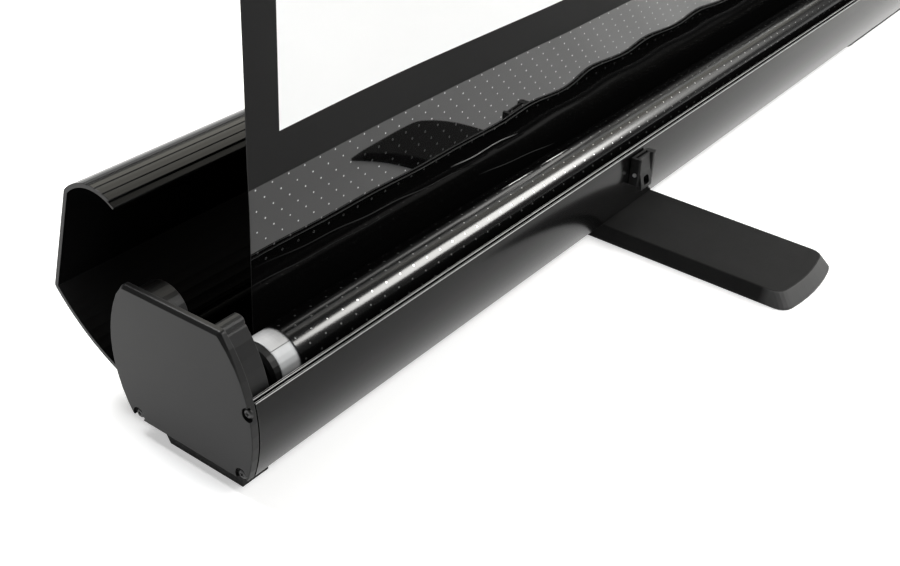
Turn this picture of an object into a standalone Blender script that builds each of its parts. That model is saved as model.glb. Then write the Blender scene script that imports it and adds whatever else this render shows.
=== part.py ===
"""Portable projection screen: a case on feet, a lid, a spring roller and a cloth held up by a mast.

Lengths are in metres. +Z is up, +X runs along the case and -Y is the side that the audience sees.
The origin is on the floor under the middle of the case. The case is open, its cloth is drawn up, the left
foot is turned out and the right foot is still turned in.
"""
import math

import bmesh
import bpy

MM = 0.001

# Picture and cloth.
IMAGE_WIDTH = 1594 * MM
IMAGE_HEIGHT = 897 * MM
BORDER = 30.5 * MM
CLOTH_MARGIN = 68.5 * MM
LEADER_RISE = 57 * MM
CLOTH_THICK = 0.5 * MM
RIPPLE = 1.8 * MM
RIPPLE_LENGTH = 430 * MM
RIPPLE_RISE = 190 * MM
RIPPLE_SLANT = 9.0
RIPPLE_PHASE = -2.25
CLOTH_COLUMNS = 34
CLOTH_ROWS = 15
CLOTH_ROW_POWER = 1.7

# Section of the closed case, measured from the middle plane and from the case's underside.
CASE_HEIGHT = 110 * MM
CASE_FRONT = 65.5 * MM
CASE_REAR = 65.6 * MM
FRONT_BULGE = 44 * MM
REAR_BULGE = 54.5 * MM
TOP_FRONT = 40 * MM
TOP_REAR = 48 * MM
BOTTOM_FRONT = 59 * MM
BOTTOM_REAR = 49 * MM
CASE_CORNER = 4 * MM
HEEL_CORNER = 8 * MM
WALL = 2.2 * MM
SIDE_STEPS = 11

# Front rim of the trough, with the groove that takes the lid's lip.
RIM_HEIGHT = 63 * MM
RIM_WIDTH = 6 * MM
RIM_DEPTH = 6 * MM
RIM_TAPER = 3 * MM
RIM_GROOVE = 2.2 * MM
RIM_GROOVE_DEPTH = 2.5 * MM
RIM_ROUND = 0.6 * MM
RIM_EDGES = (0, 1, 4, 5)

# Hinge along the back: a bead on the trough turns in a socket of the lid.
HINGE_HEIGHT = 34.5 * MM
BEAD_RADIUS = 3.6 * MM
HINGE_GAP = 0.35 * MM
SOCKET_WALL = 2 * MM
SOCKET_MARGIN = math.radians(6)
LID_OPEN = math.radians(73.7)

# Lid.
LID_GAP = 1.4 * MM
LID_WALL = 3.2 * MM
LIP_FORWARD = 18.2 * MM
LIP_DROP = 18.4 * MM
LIP_END_FORWARD = 20 * MM
LIP_STEPS = 14
GROOVES = 3
GROOVE_START = 0.2
GROOVE_PITCH = 0.14
GROOVE_WIDTH = 1 * MM
GROOVE_DEPTH = 0.7 * MM
TONGUE_LENGTH = 4.5 * MM
TONGUE_WALL = 1.5 * MM
NUB_WALL = 1 * MM
NOTCH_RISE = 1.5 * MM
SKIRT_BACK = 19 * MM
SKIRT_DROP = 36 * MM
SKIRT_OUT = 13.4 * MM
SKIRT_STEPS = 10

# End caps.
CAP_PLATE = 6 * MM
CAP_NECK = 1 * MM
CAP_NECK_INSET = 1.5 * MM
CAP_FALL = 2.5 * MM
CAP_BEVEL = 2.4 * MM
CAP_LEAST = 0.2
CAP_ROUND = 0.35
CAP_FRONT_RUN = 32 * MM
CAP_REAR_RUN = 8 * MM
SPIGOT_DEPTH = 20 * MM
SPIGOT_WALL = 2.5 * MM
LUG_DEPTH = 20 * MM
LUG_BASE = 85 * MM
LUG_RISE = 17.5 * MM
FRONT_LUG_Y = (-36 * MM, -25 * MM)
REAR_LUG_Y = (16.5 * MM, 57.5 * MM)
LUG_STEPS = 18
BOSS_RADIUS = 14 * MM
BOSS_LENGTH = 31 * MM
NOTCH_RADIUS = 5.5 * MM
NOTCH_DEPTH = 2.6 * MM
NOTCH_INSET = 1 * MM
FRONT_NOTCH_HEIGHT = 58 * MM
CORNER_NOTCH_HEIGHT = 4 * MM
FRONT_NOTCH_Y = -54 * MM
REAR_NOTCH_Y = 44 * MM

# Roller.
ROLLER_Y = -24 * MM
ROLLER_HEIGHT = 47.4 * MM
TUBE_RADIUS = 21.5 * MM
TUBE_WALL = 1.5 * MM
TUBE_INSET = 50 * MM
WOUND_SHEET = 0.3 * MM
WOUND_PITCH = 0.75 * MM
WOUND_TURNS = 1.5
WOUND_POINTS = 40
HUB_FLANGE = 8 * MM
HUB_CHAMFER = 2.5 * MM
HUB_SPIGOT = 24 * MM
AXLE_RADIUS = 4 * MM
AXLE_SEAT = 24 * MM
CARTRIDGE_LENGTH = 330 * MM
CARTRIDGE_SHOULDER = 12 * MM

# Feet and pads.
FOOT_HEIGHT = 13 * MM
FOOT_GAP = 0.6 * MM
FOOT_LENGTH = 490 * MM
FOOT_WIDTH = 98 * MM
FOOT_BOW = 6 * MM
FOOT_CORNER = 12 * MM
FOOT_EDGE = 2.5 * MM
FOOT_SIDE_DRAFT = 4.5 * MM
FOOT_END_DRAFT = 9 * MM
FOOT_ROUND = 1.2 * MM
FOOT_INSET = 495 * MM
POCKETS = 3
POCKET_START = 22 * MM
POCKET_END = 18 * MM
POCKET_SIDE = 7 * MM
POCKET_RIB = 4 * MM
POCKET_ROOF = 3.5 * MM
PIVOT_RADIUS = 6 * MM
PIVOT_HEAD_RADIUS = 11 * MM
PIVOT_HEAD = 3 * MM
PIVOT_RECESS = 1 * MM
PAD_FRONT = -48.5 * MM
PAD_REAR = 21 * MM
PAD_SLOPE = 8 * MM
PAD_WIDTH = 24 * MM
PAD_INSET = 6.3 * MM

# Latches on the front wall.
LATCH_INSET = 487 * MM
LATCH_SLOT = 19 * MM
LATCH_HEIGHT = 26 * MM
LATCH_DEPTH = 9.5 * MM
LATCH_BACK = 2 * MM
LATCH_LEFT_EAR = 3 * MM
LATCH_RIGHT_EAR = 6 * MM
LATCH_ROUND = 1.5 * MM
LATCH_BELOW_RIM = 3 * MM
LATCH_PIN_DROP = 15.5 * MM
LATCH_PIN_OUT = 5.2 * MM
LATCH_PIN_RADIUS = 1.8 * MM
LATCH_PIN_SHOWS = 1 * MM
LATCH_PIN_SEAT = 4 * MM
LEVER_REACH = 15.5 * MM
LEVER_THICK = 3 * MM
LEVER_KICK = 5 * MM
LEVER_LEG = 4.5 * MM
LEVER_BAR = 4 * MM

# Mast behind the cloth.
MAST_SIZE = 24 * MM
MAST_WALL = 1.6 * MM
MAST_INNER_WALL = 1.4 * MM
MAST_CORNER = 4 * MM
MAST_CLEARANCE = 9 * MM
MAST_OUTER_LENGTH = 580 * MM
MAST_OVERLAP = 80 * MM
MAST_PIVOT_HEIGHT = 20.5 * MM
MAST_EYE = 12 * MM
MAST_EYE_NECK = 14 * MM
MAST_PLUG = 25 * MM
MAST_PIN_RADIUS = 4 * MM
HEAD_HEIGHT = 6 * MM
HEAD_PLUG = 20 * MM
BRACKET_PLATE = 3 * MM
BRACKET_LENGTH = 46 * MM
BRACKET_CHEEK = 28 * MM
COLLAR_WALL = 4 * MM
COLLAR_HEIGHT = 30 * MM
COLLAR_TOP = 4 * MM
COLLAR_BOSS_RADIUS = 7 * MM
COLLAR_BOSS = 7 * MM
KNOB_RADIUS = 11.5 * MM
KNOB_LOBE = 1.5 * MM
KNOB_LOBES = 5
KNOB_POINTS = 40
KNOB_THICK = 12 * MM
KNOB_SCREW = 3 * MM

# Batten at the top of the cloth.
BATTEN_HEIGHT = 26 * MM
BATTEN_DEPTH = 12 * MM
BATTEN_WALL = 1.6 * MM
BATTEN_SLOT = 8 * MM
BATTEN_OVERHANG = 5 * MM
BATTEN_CAP = 4 * MM
BATTEN_PLUG = 14 * MM
HANGER_LENGTH = 60 * MM
HANGER_WALL = 2.5 * MM
HANGER_LIP = 10 * MM
HANGER_FLANGE = 16 * MM

# Fits.
FIT = 0.3 * MM
RUN = 0.1 * MM
BITE = 1 * MM
ROUND_STEPS = 32
PIN_STEPS = 24

# Worked out from the sizes above.
CASE_LENGTH = IMAGE_WIDTH + 2 * (BORDER + CLOTH_MARGIN)
CASE_BOTTOM = FOOT_HEIGHT + FOOT_GAP
CASE_TOP = CASE_BOTTOM + CASE_HEIGHT
CASE_END = CASE_LENGTH / 2
TROUGH_END = CASE_END - CAP_PLATE - CAP_NECK - FIT
RIM_Z = CASE_BOTTOM + RIM_HEIGHT
ROLLER_Z = CASE_BOTTOM + ROLLER_HEIGHT
TUBE_END = CASE_END - TUBE_INSET
TUBE_BORE = TUBE_RADIUS - TUBE_WALL
WOUND_BORE = TUBE_RADIUS + RUN
WOUND_RADIUS = WOUND_BORE + WOUND_TURNS * WOUND_PITCH + WOUND_SHEET
CLOTH_WIDTH = IMAGE_WIDTH + 2 * BORDER
CLOTH_Y = ROLLER_Y + WOUND_RADIUS + FIT + CLOTH_THICK / 2
CLOTH_TOP = CASE_TOP + LEADER_RISE + 2 * BORDER + IMAGE_HEIGHT
SPIGOT_INSET = max(RIM_WIDTH, WALL / 2 + BEAD_RADIUS + HINGE_GAP + SOCKET_WALL) + 2 * FIT
FOOT_X = CASE_END - FOOT_INSET
LATCH_X = CASE_END - LATCH_INSET
LATCH_BACK_Y = -CASE_FRONT - FIT
LATCH_TOP = RIM_Z - LATCH_BELOW_RIM
LATCH_PIN_Y = LATCH_BACK_Y - LATCH_PIN_OUT
LATCH_PIN_Z = LATCH_TOP - LATCH_PIN_DROP
MAST_Y = CLOTH_Y + MAST_CLEARANCE + MAST_SIZE / 2
MAST_PIVOT_Z = CASE_BOTTOM + MAST_PIVOT_HEIGHT
MAST_BORE = MAST_SIZE - 2 * MAST_WALL
MAST_INNER_SIZE = MAST_BORE - 2 * FIT
MAST_BASE_Z = MAST_PIVOT_Z + MAST_EYE_NECK
MAST_TOP_Z = MAST_BASE_Z + MAST_OUTER_LENGTH
BATTEN_BASE_Z = CLOTH_TOP - BATTEN_SLOT
BATTEN_LENGTH = CLOTH_WIDTH + 2 * BATTEN_OVERHANG
BATTEN_BACK_Y = CLOTH_Y + BATTEN_DEPTH / 2
HANGER_TOP = BATTEN_BASE_Z + HANGER_FLANGE
HEAD_TOP = HANGER_TOP - HANGER_WALL - FIT
INNER_BASE_Z = MAST_TOP_Z - MAST_OVERLAP
INNER_TOP_Z = HEAD_TOP - HEAD_HEIGHT

# A profile drawn in Y and Z runs along X, and one drawn in X and Z runs along Y.
ALONG_X = (math.radians(90), 0, math.radians(90))
ALONG_Y = (math.radians(90), 0, 0)

BLACK_METAL = ((0.012, 0.012, 0.013), 0.28, 0.3)
BLACK_PLASTIC = ((0.028, 0.028, 0.029), 0.5, 0.0)
BARE_METAL = ((0.72, 0.73, 0.74), 0.3, 1.0)
DARK_STEEL = ((0.16, 0.16, 0.17), 0.4, 1.0)
RUBBER = ((0.015, 0.015, 0.015), 0.8, 0.0)
GLOSS_FILM = ((0.006, 0.006, 0.007), 0.12, 0.0)
WHITE_CLOTH = ((0.86, 0.86, 0.86), 0.75, 0.0)


def clear_scene():
    """Empty the scene and make the two collections."""
    for item in list(bpy.data.objects):
        bpy.data.objects.remove(item)
    parts = bpy.data.collections.new("projection_screen")
    cutters = bpy.data.collections.new("cutters")
    bpy.context.scene.collection.children.link(parts)
    bpy.context.scene.collection.children.link(cutters)
    return parts, cutters


PARTS, CUTTERS = clear_scene()


def circle_through(first, middle, last):
    """Centre and radius of the circle through three points."""
    (ax, ay), (bx, by), (cx, cy) = first, middle, last
    scale = 2 * (ax * (by - cy) + bx * (cy - ay) + cx * (ay - by))
    a, b, c = ax * ax + ay * ay, bx * bx + by * by, cx * cx + cy * cy
    x = (a * (by - cy) + b * (cy - ay) + c * (ay - by)) / scale
    y = (a * (cx - bx) + b * (ax - cx) + c * (bx - ax)) / scale
    return x, y, math.hypot(ax - x, ay - y)


def arc(centre, radius, start, end, steps):
    """Points along an arc, both ends included."""
    angles = [start + (end - start) * i / steps for i in range(steps + 1)]
    return [(centre[0] + radius * math.cos(t), centre[1] + radius * math.sin(t)) for t in angles]


def turn_between(start, end):
    """Smallest turn from one angle to another."""
    return (end - start + math.pi) % (2 * math.pi) - math.pi


def fillet(before, corner, after, radius, steps=3):
    """Points of a round corner between two straight runs."""
    ux, uy = before[0] - corner[0], before[1] - corner[1]
    vx, vy = after[0] - corner[0], after[1] - corner[1]
    u, v = math.hypot(ux, uy), math.hypot(vx, vy)
    ux, uy, vx, vy = ux / u, uy / u, vx / v, vy / v
    half = math.acos(max(-1.0, min(1.0, ux * vx + uy * vy))) / 2
    reach = radius / math.tan(half)
    bx, by = ux + vx, uy + vy
    b = math.hypot(bx, by)
    centre = (corner[0] + bx / b * radius / math.sin(half), corner[1] + by / b * radius / math.sin(half))
    first = math.atan2(corner[1] + uy * reach - centre[1], corner[0] + ux * reach - centre[0])
    last = math.atan2(corner[1] + vy * reach - centre[1], corner[0] + vx * reach - centre[0])
    return arc(centre, radius, first, first + turn_between(first, last), steps)


def rounded(points, corners, radius=None, steps=3):
    """A closed outline with the named corners made round, to one radius or to each its own."""
    radii = corners if isinstance(corners, dict) else dict.fromkeys(corners, radius)
    out = []
    for i, point in enumerate(points):
        if i in radii:
            after = points[(i + 1) % len(points)]
            out += fillet(points[i - 1], point, after, radii[i], steps)
        else:
            out.append(point)
    return out


def box_outline(width, height, radius, steps=3):
    """A rectangle about the origin with round corners."""
    w, h = width / 2, height / 2
    return rounded([(-w, -h), (w, -h), (w, h), (-w, h)], range(4), radius, steps)


def weld(mesh):
    """Join the loose caps of an extruded outline and face it outwards."""
    bm = bmesh.new()
    bm.from_mesh(mesh)
    bmesh.ops.remove_doubles(bm, verts=bm.verts, dist=0.001 * MM)
    bmesh.ops.recalc_face_normals(bm, faces=bm.faces)
    bm.to_mesh(mesh)
    bm.free()
    return mesh


def prism(name, loops, depth):
    """A mesh of one outline, less its holes, drawn out along local Z about its middle."""
    curve = bpy.data.curves.new(name, "CURVE")
    curve.dimensions = "2D"
    curve.fill_mode = "BOTH"
    curve.extrude = depth / 2
    for loop in loops:
        spline = curve.splines.new("POLY")
        spline.points.add(len(loop) - 1)
        spline.use_cyclic_u = True
        for point, (u, v) in zip(spline.points, loop):
            point.co = (u, v, 0, 1)
    holder = bpy.data.objects.new(name, curve)
    bpy.context.scene.collection.objects.link(holder)
    graph = bpy.context.evaluated_depsgraph_get()
    mesh = bpy.data.meshes.new_from_object(holder.evaluated_get(graph))
    bpy.data.objects.remove(holder)
    bpy.data.curves.remove(curve)
    mesh.name = name
    return weld(mesh)


def cylinder(name, radius, depth, steps=PIN_STEPS):
    """A mesh of a round bar along local Z about its middle."""
    bm = bmesh.new()
    bmesh.ops.create_cone(bm, cap_ends=True, segments=steps, radius1=radius, radius2=radius, depth=depth)
    mesh = bpy.data.meshes.new(name)
    bm.to_mesh(mesh)
    bm.free()
    return mesh


def block(name, size):
    """A mesh of a box about its middle."""
    bm = bmesh.new()
    bmesh.ops.create_cube(bm, size=1)
    bmesh.ops.scale(bm, vec=size, verts=bm.verts)
    mesh = bpy.data.meshes.new(name)
    bm.to_mesh(mesh)
    bm.free()
    return mesh


def bevel_face(mesh, axis, sign, width, segments):
    """Round the rim of the flat face that looks along one local axis."""
    bm = bmesh.new()
    bm.from_mesh(mesh)
    bm.normal_update()
    far = max(sign * v.co[axis] for v in bm.verts)
    top = [f for f in bm.faces if all(abs(sign * v.co[axis] - far) < 0.001 * MM for v in f.verts)]
    inside = set(top)
    rim = [e for e in bm.edges if sum(f in inside for f in e.link_faces) == 1]
    bmesh.ops.dissolve_faces(bm, faces=top)
    rim = [e for e in rim if e.is_valid]
    bmesh.ops.bevel(bm, geom=rim, offset=width, segments=segments, profile=0.5, affect="EDGES")
    bm.to_mesh(mesh)
    bm.free()
    return mesh


def loft(name, loops):
    """A closed mesh through outlines that lie one above the other, with the same number of points in each."""
    count = len(loops[0])
    verts = [point for loop in loops for point in loop]
    faces = [list(range(count)), list(range(len(verts) - count, len(verts)))]
    for level in range(len(loops) - 1):
        for i in range(count):
            a, b = level * count + i, level * count + (i + 1) % count
            faces.append((a, b, b + count, a + count))
    mesh = bpy.data.meshes.new(name)
    mesh.from_pydata(verts, [], faces)
    return weld(mesh)


def draw_in(outline, widths):
    """An outline moved inwards, each point by its own width."""
    out = []
    turn = sum(a[0] * b[1] - b[0] * a[1] for a, b in zip(outline, outline[1:] + outline[:1]))
    for i, (u, v) in enumerate(outline):
        before, after = outline[i - 1], outline[(i + 1) % len(outline)]
        du, dv = after[0] - before[0], after[1] - before[1]
        reach = math.copysign(widths[i] / math.hypot(du, dv), turn)
        out.append((u - dv * reach, v + du * reach))
    return out


def empty(name, location, rotation=(0, 0, 0), parent=None):
    """An empty that marks a joint's axis."""
    marker = bpy.data.objects.new(name, None)
    PARTS.objects.link(marker)
    marker.location = location
    marker.rotation_euler = rotation
    marker.parent = parent
    return marker


def piece(name, mesh, look, location=(0, 0, 0), rotation=(0, 0, 0), parent=None, smooth=True):
    """Place a mesh as a named part with its own material."""
    colour, roughness, metallic = look
    material = bpy.data.materials.new(name)
    material.use_nodes = True
    shader = material.node_tree.nodes["Principled BSDF"]
    shader.inputs["Base Color"].default_value = (*colour, 1)
    shader.inputs["Roughness"].default_value = roughness
    shader.inputs["Metallic"].default_value = metallic
    mesh.materials.clear()
    mesh.materials.append(material)
    if smooth:
        mesh.shade_smooth()
        mesh.set_sharp_from_angle(angle=math.radians(35))
    item = bpy.data.objects.new(name, mesh)
    PARTS.objects.link(item)
    item.location = location
    item.rotation_euler = rotation
    item.parent = parent
    return item


def shape_with(target, mesh, location, rotation=(0, 0, 0), operation="DIFFERENCE", parent=None):
    """Cut a mesh out of a part, or join it on."""
    tool = bpy.data.objects.new(f"{target.name}_tool", mesh)
    CUTTERS.objects.link(tool)
    tool.location = location
    tool.rotation_euler = rotation
    tool.parent = parent
    tool.hide_render = True
    tool.display_type = "WIRE"
    change = target.modifiers.new("shape", "BOOLEAN")
    change.object = tool
    change.operation = operation
    change.solver = "EXACT"
    return tool


def turned(name, profile, look, location, rotation=ALONG_X, steps=ROUND_STEPS, closed=False):
    """A part turned about local Z from a profile of radius and height."""
    edges = [(i, i + 1) for i in range(len(profile) - 1)]
    if closed:
        edges.append((len(profile) - 1, 0))
    mesh = bpy.data.meshes.new(name)
    mesh.from_pydata([(r, 0, h) for r, h in profile], edges, [])
    item = piece(name, mesh, look, location, rotation, smooth=False)
    spin = item.modifiers.new("turn", "SCREW")
    spin.steps = steps
    spin.render_steps = steps
    spin.use_merge_vertices = True
    spin.merge_threshold = 0.01 * MM
    spin.use_smooth_shade = True
    return item


# Section of the closed case.
CASE_A = (-TOP_FRONT, CASE_TOP)
CASE_B = (TOP_REAR, CASE_TOP)
CASE_C = (BOTTOM_REAR, CASE_BOTTOM)
CASE_D = (-BOTTOM_FRONT, CASE_BOTTOM)
FRONT_CIRCLE = circle_through(CASE_A, (-CASE_FRONT, CASE_BOTTOM + FRONT_BULGE), CASE_D)
REAR_CIRCLE = circle_through(CASE_B, (CASE_REAR, CASE_BOTTOM + REAR_BULGE), CASE_C)
HINGE_Z = CASE_BOTTOM + HINGE_HEIGHT


def front_y(z, inset=0.0):
    """Y of the front wall at a height."""
    y, middle, radius = FRONT_CIRCLE
    return y - math.sqrt((radius - inset) ** 2 - (z - middle) ** 2)


def rear_y(z, inset=0.0):
    """Y of the rear wall at a height."""
    y, middle, radius = REAR_CIRCLE
    return y + math.sqrt((radius - inset) ** 2 - (z - middle) ** 2)


HINGE_Y = rear_y(HINGE_Z, WALL / 2)


def wall_points(side, low, high, inset=0.0, steps=SIDE_STEPS):
    """Points up one curved wall, from one height to another."""
    heights = [low + (high - low) * i / steps for i in range(steps + 1)]
    return [(side(z, inset), z) for z in heights]


def cap_outline(inset=0.0):
    """Outline of an end cap, drawn in by an inset: the closed case, its top falling a little to the rear."""
    front = wall_points(front_y, CASE_BOTTOM + inset, CASE_TOP - inset, inset)
    rear = wall_points(rear_y, CASE_TOP - CAP_FALL - inset, CASE_BOTTOM + inset, inset)
    corners = dict.fromkeys((0, len(front) - 1, len(front)), CASE_CORNER)
    corners[len(front) + len(rear) - 1] = HEEL_CORNER
    return rounded(front + rear, corners)


def trough_outline():
    """Profile of the trough: a grooved rim in front, a flat floor and a hinge bead at the back."""
    floor = CASE_BOTTOM + WALL
    neck = math.asin(WALL / 2 / BEAD_RADIUS)
    neck_z = HINGE_Z - BEAD_RADIUS * math.cos(neck)
    land = (RIM_WIDTH - RIM_GROOVE) / 2
    valley = RIM_Z - RIM_GROOVE_DEPTH
    under = RIM_Z - RIM_DEPTH
    rim = [
        (front_y(RIM_Z), RIM_Z),
        (front_y(RIM_Z, land), RIM_Z),
        (front_y(valley, land), valley),
        (front_y(valley, land + RIM_GROOVE), valley),
        (front_y(RIM_Z, land + RIM_GROOVE), RIM_Z),
        (front_y(RIM_Z, RIM_WIDTH), RIM_Z),
        (front_y(under, RIM_WIDTH), under),
    ]
    inside_front = wall_points(front_y, under - RIM_TAPER, floor, WALL)
    inside_rear = wall_points(rear_y, floor, neck_z, WALL, 6)
    bead = arc((HINGE_Y, HINGE_Z), BEAD_RADIUS, 1.5 * math.pi - neck, neck - 0.5 * math.pi, PIN_STEPS)
    outside_rear = wall_points(rear_y, neck_z, CASE_BOTTOM, 0.0, 6)
    outside_front = wall_points(front_y, CASE_BOTTOM, RIM_Z)
    path = rim + inside_front + inside_rear[:-1] + bead + outside_rear[1:] + outside_front[:-1]
    corner = len(rim) + len(inside_front) + len(inside_rear) - 1 + len(bead) + len(outside_rear) - 2
    corners = dict.fromkeys(RIM_EDGES, RIM_ROUND)
    corners.update({corner: HEEL_CORNER, corner + 1: CASE_CORNER})
    return rounded(path, corners)


def make_trough():
    """The case's trough, with a hole for each foot's pivot."""
    mesh = prism("base_extrusion", [trough_outline()], 2 * TROUGH_END)
    trough = piece("base_extrusion", mesh, BLACK_METAL, (0, 0, 0), ALONG_X)
    for side in (-1, 1):
        hole = cylinder("pivot_hole", PIVOT_RADIUS + FIT, 4 * WALL)
        shape_with(trough, hole, (side * FOOT_X, 0, CASE_BOTTOM + WALL / 2))


LIP_END = (-TOP_FRONT - LIP_END_FORWARD, RIM_Z + LID_GAP)
LIP_CIRCLE = circle_through(LIP_END, (-TOP_FRONT - LIP_FORWARD, CASE_TOP - LIP_DROP), CASE_A)


def lip_point(inset, height):
    """A point of the lid's lip at a height, drawn in from its outer face."""
    y, z, radius = LIP_CIRCLE
    return y - math.sqrt((radius - inset) ** 2 - (height - z) ** 2), height


def lip_outline(inset, low, grooved):
    """Points up the lip's arc to the flat wall, with its grooves on the outer face."""
    y, z, radius = LIP_CIRCLE
    first = math.atan2(LIP_END[1] - z, LIP_END[0] - y)
    turn = turn_between(first, math.atan2(CASE_A[1] - z, CASE_A[0] - y))
    radius -= inset
    marks = [(first + turn * i / LIP_STEPS, radius) for i in range(LIP_STEPS + 1)]
    if grooved:
        half = math.copysign(GROOVE_WIDTH / 2 / radius, turn)
        for i in range(GROOVES):
            centre = first + turn * (GROOVE_START + GROOVE_PITCH * i)
            marks = [m for m in marks if abs(m[0] - centre) > 2 * abs(half)]
            marks += [(centre - half, radius), (centre - half, radius - GROOVE_DEPTH)]
            marks += [(centre + half, radius - GROOVE_DEPTH), (centre + half, radius)]
        marks.sort(key=lambda m: abs(m[0] - first))
    points = [(y + r * math.cos(t), z + r * math.sin(t)) for t, r in marks]
    return [p for p in points if p[1] > low]


def lip_end_outline():
    """The lip's free end, from inside to outside: a tongue, a notch and a nub."""
    tip = LIP_END[1]
    nub = tip + TONGUE_LENGTH
    notch = nub + NOTCH_RISE
    spots = ((LID_WALL, tip), (LID_WALL - TONGUE_WALL, tip), (LID_WALL - TONGUE_WALL, notch))
    spots += ((NUB_WALL, notch), (NUB_WALL, nub), (0, nub))
    return [lip_point(inset, height) for inset, height in spots]


def lid_outline():
    """Profile of the closed lid, measured from the hinge's axis."""
    lip = lip_outline(0, LIP_END[1] + TONGUE_LENGTH + NOTCH_RISE, True)
    skirt_end = (HINGE_Y + SKIRT_OUT, HINGE_Z)
    skirt_middle = (TOP_REAR + SKIRT_BACK, CASE_TOP - SKIRT_DROP)
    sy, sz, skirt_radius = circle_through(CASE_B, skirt_middle, skirt_end)
    top_angle = math.atan2(CASE_B[1] - sz, CASE_B[0] - sy)
    end_angle = math.atan2(skirt_end[1] - sz, skirt_end[0] - sy)
    skirt = arc((sy, sz), skirt_radius, top_angle, end_angle, SKIRT_STEPS)
    skin = lip[:-1] + fillet(lip[-2], CASE_A, CASE_B, CASE_CORNER)
    skin += fillet(CASE_A, CASE_B, skirt[1], CASE_CORNER) + skirt[1:]

    bore = BEAD_RADIUS + HINGE_GAP
    shell = bore + SOCKET_WALL
    neck = math.asin(WALL / 2 / BEAD_RADIUS) + SOCKET_MARGIN
    mouth_low = LID_OPEN + neck - 0.5 * math.pi
    mouth_high = 1.5 * math.pi - neck
    web_angle = mouth_low + 2 * math.asin(WALL / 2 / shell)
    hinge = (HINGE_Y, HINGE_Z)
    web_low = HINGE_Z + shell * math.sin(mouth_low)
    web_high = HINGE_Z + shell * math.sin(web_angle)
    skin[-1] = (skirt_end[0], web_low)
    socket = [(HINGE_Y + shell * math.cos(mouth_low), web_low)]
    socket += arc(hinge, bore, mouth_low, mouth_high, PIN_STEPS)
    socket += arc(hinge, shell, mouth_high, web_angle, PIN_STEPS)

    inside_radius = skirt_radius - LID_WALL
    inside_top = CASE_TOP - LID_WALL
    inside_skirt = arc((sy, sz), inside_radius, end_angle, top_angle, SKIRT_STEPS)
    inside_skirt = [p for p in inside_skirt if web_high + WALL < p[1] < inside_top - CASE_CORNER]
    web_root = (sy + math.sqrt(inside_radius ** 2 - (web_high - sz) ** 2), web_high)
    roof_rear = (sy + math.sqrt(inside_radius ** 2 - (inside_top - sz) ** 2), inside_top)
    roof_front = lip_point(LID_WALL, inside_top)
    inside_lip = lip_outline(LID_WALL, LIP_END[1] + WALL, False)
    inside_lip = [p for p in reversed(inside_lip) if p[1] < inside_top - WALL]
    inside = [web_root, *inside_skirt, roof_rear, roof_front, *inside_lip]
    outline = skin + socket + inside + lip_end_outline()
    return [(py - HINGE_Y, pz - HINGE_Z) for py, pz in outline]


def make_lid():
    """The lid, turned back on its hinge."""
    axis = empty("lid_hinge_axis", (0, HINGE_Y, HINGE_Z), (-LID_OPEN, 0, 0))
    mesh = prism("lid", [lid_outline()], 2 * TROUGH_END)
    piece("lid", mesh, BLACK_METAL, (0, 0, 0), ALONG_X, axis)


def spigot_outline():
    """Profile of the spigot: a ring that is left open on top, between its two upper corners."""
    sides = []
    for inset in (SPIGOT_INSET, SPIGOT_INSET + SPIGOT_WALL):
        ring = cap_outline(inset)
        start = next(i for i, point in enumerate(ring) if point[0] > 0)
        sides.append(ring[start:] + ring[:start])
    return sides[0] + sides[1][::-1]


def lug_outlines():
    """Profiles of the lugs that the lid closes over: a tooth in front and a dome at the rear."""
    top = CASE_TOP - LID_WALL
    base = CASE_BOTTOM + LUG_BASE
    low, high = FRONT_LUG_Y
    tooth = rounded([(low, base), (high, base), (high, top), (low, top)], (2, 3), CASE_CORNER)
    low, high = REAR_LUG_Y
    half = (high - low) / 2
    dome = [(low + half * (1 + u), base + LUG_RISE * v) for u, v in arc((0, 0), 1, 0, math.pi, LUG_STEPS)]
    return tooth, dome


def cap_plate(name, side):
    """The cap's plate, its face at local Z 0: a bevel along the top runs out down the front and the rear."""
    outline = cap_outline()
    widths = []
    for y, z in outline:
        top, run = (CASE_TOP, CAP_FRONT_RUN) if y < 0 else (CASE_TOP - CAP_FALL, CAP_REAR_RUN)
        widths.append(CAP_BEVEL * max(CAP_LEAST, min(1, 1 - (top - z) / run)))
    slant = CAP_ROUND * math.sqrt(0.5)
    steps = ((0, 1 + CAP_ROUND), (slant / 4, 1 + (CAP_ROUND - slant) / 4), (slant, 1 - slant), (1, 0))
    loops = [[(y, z, -side * CAP_PLATE) for y, z in outline]]
    for inset, depth in steps:
        points = draw_in(outline, [inset * width for width in widths])
        loops.append([(y, z, -side * depth * width) for (y, z), width in zip(points, widths)])
    return loft(name, loops)


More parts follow.
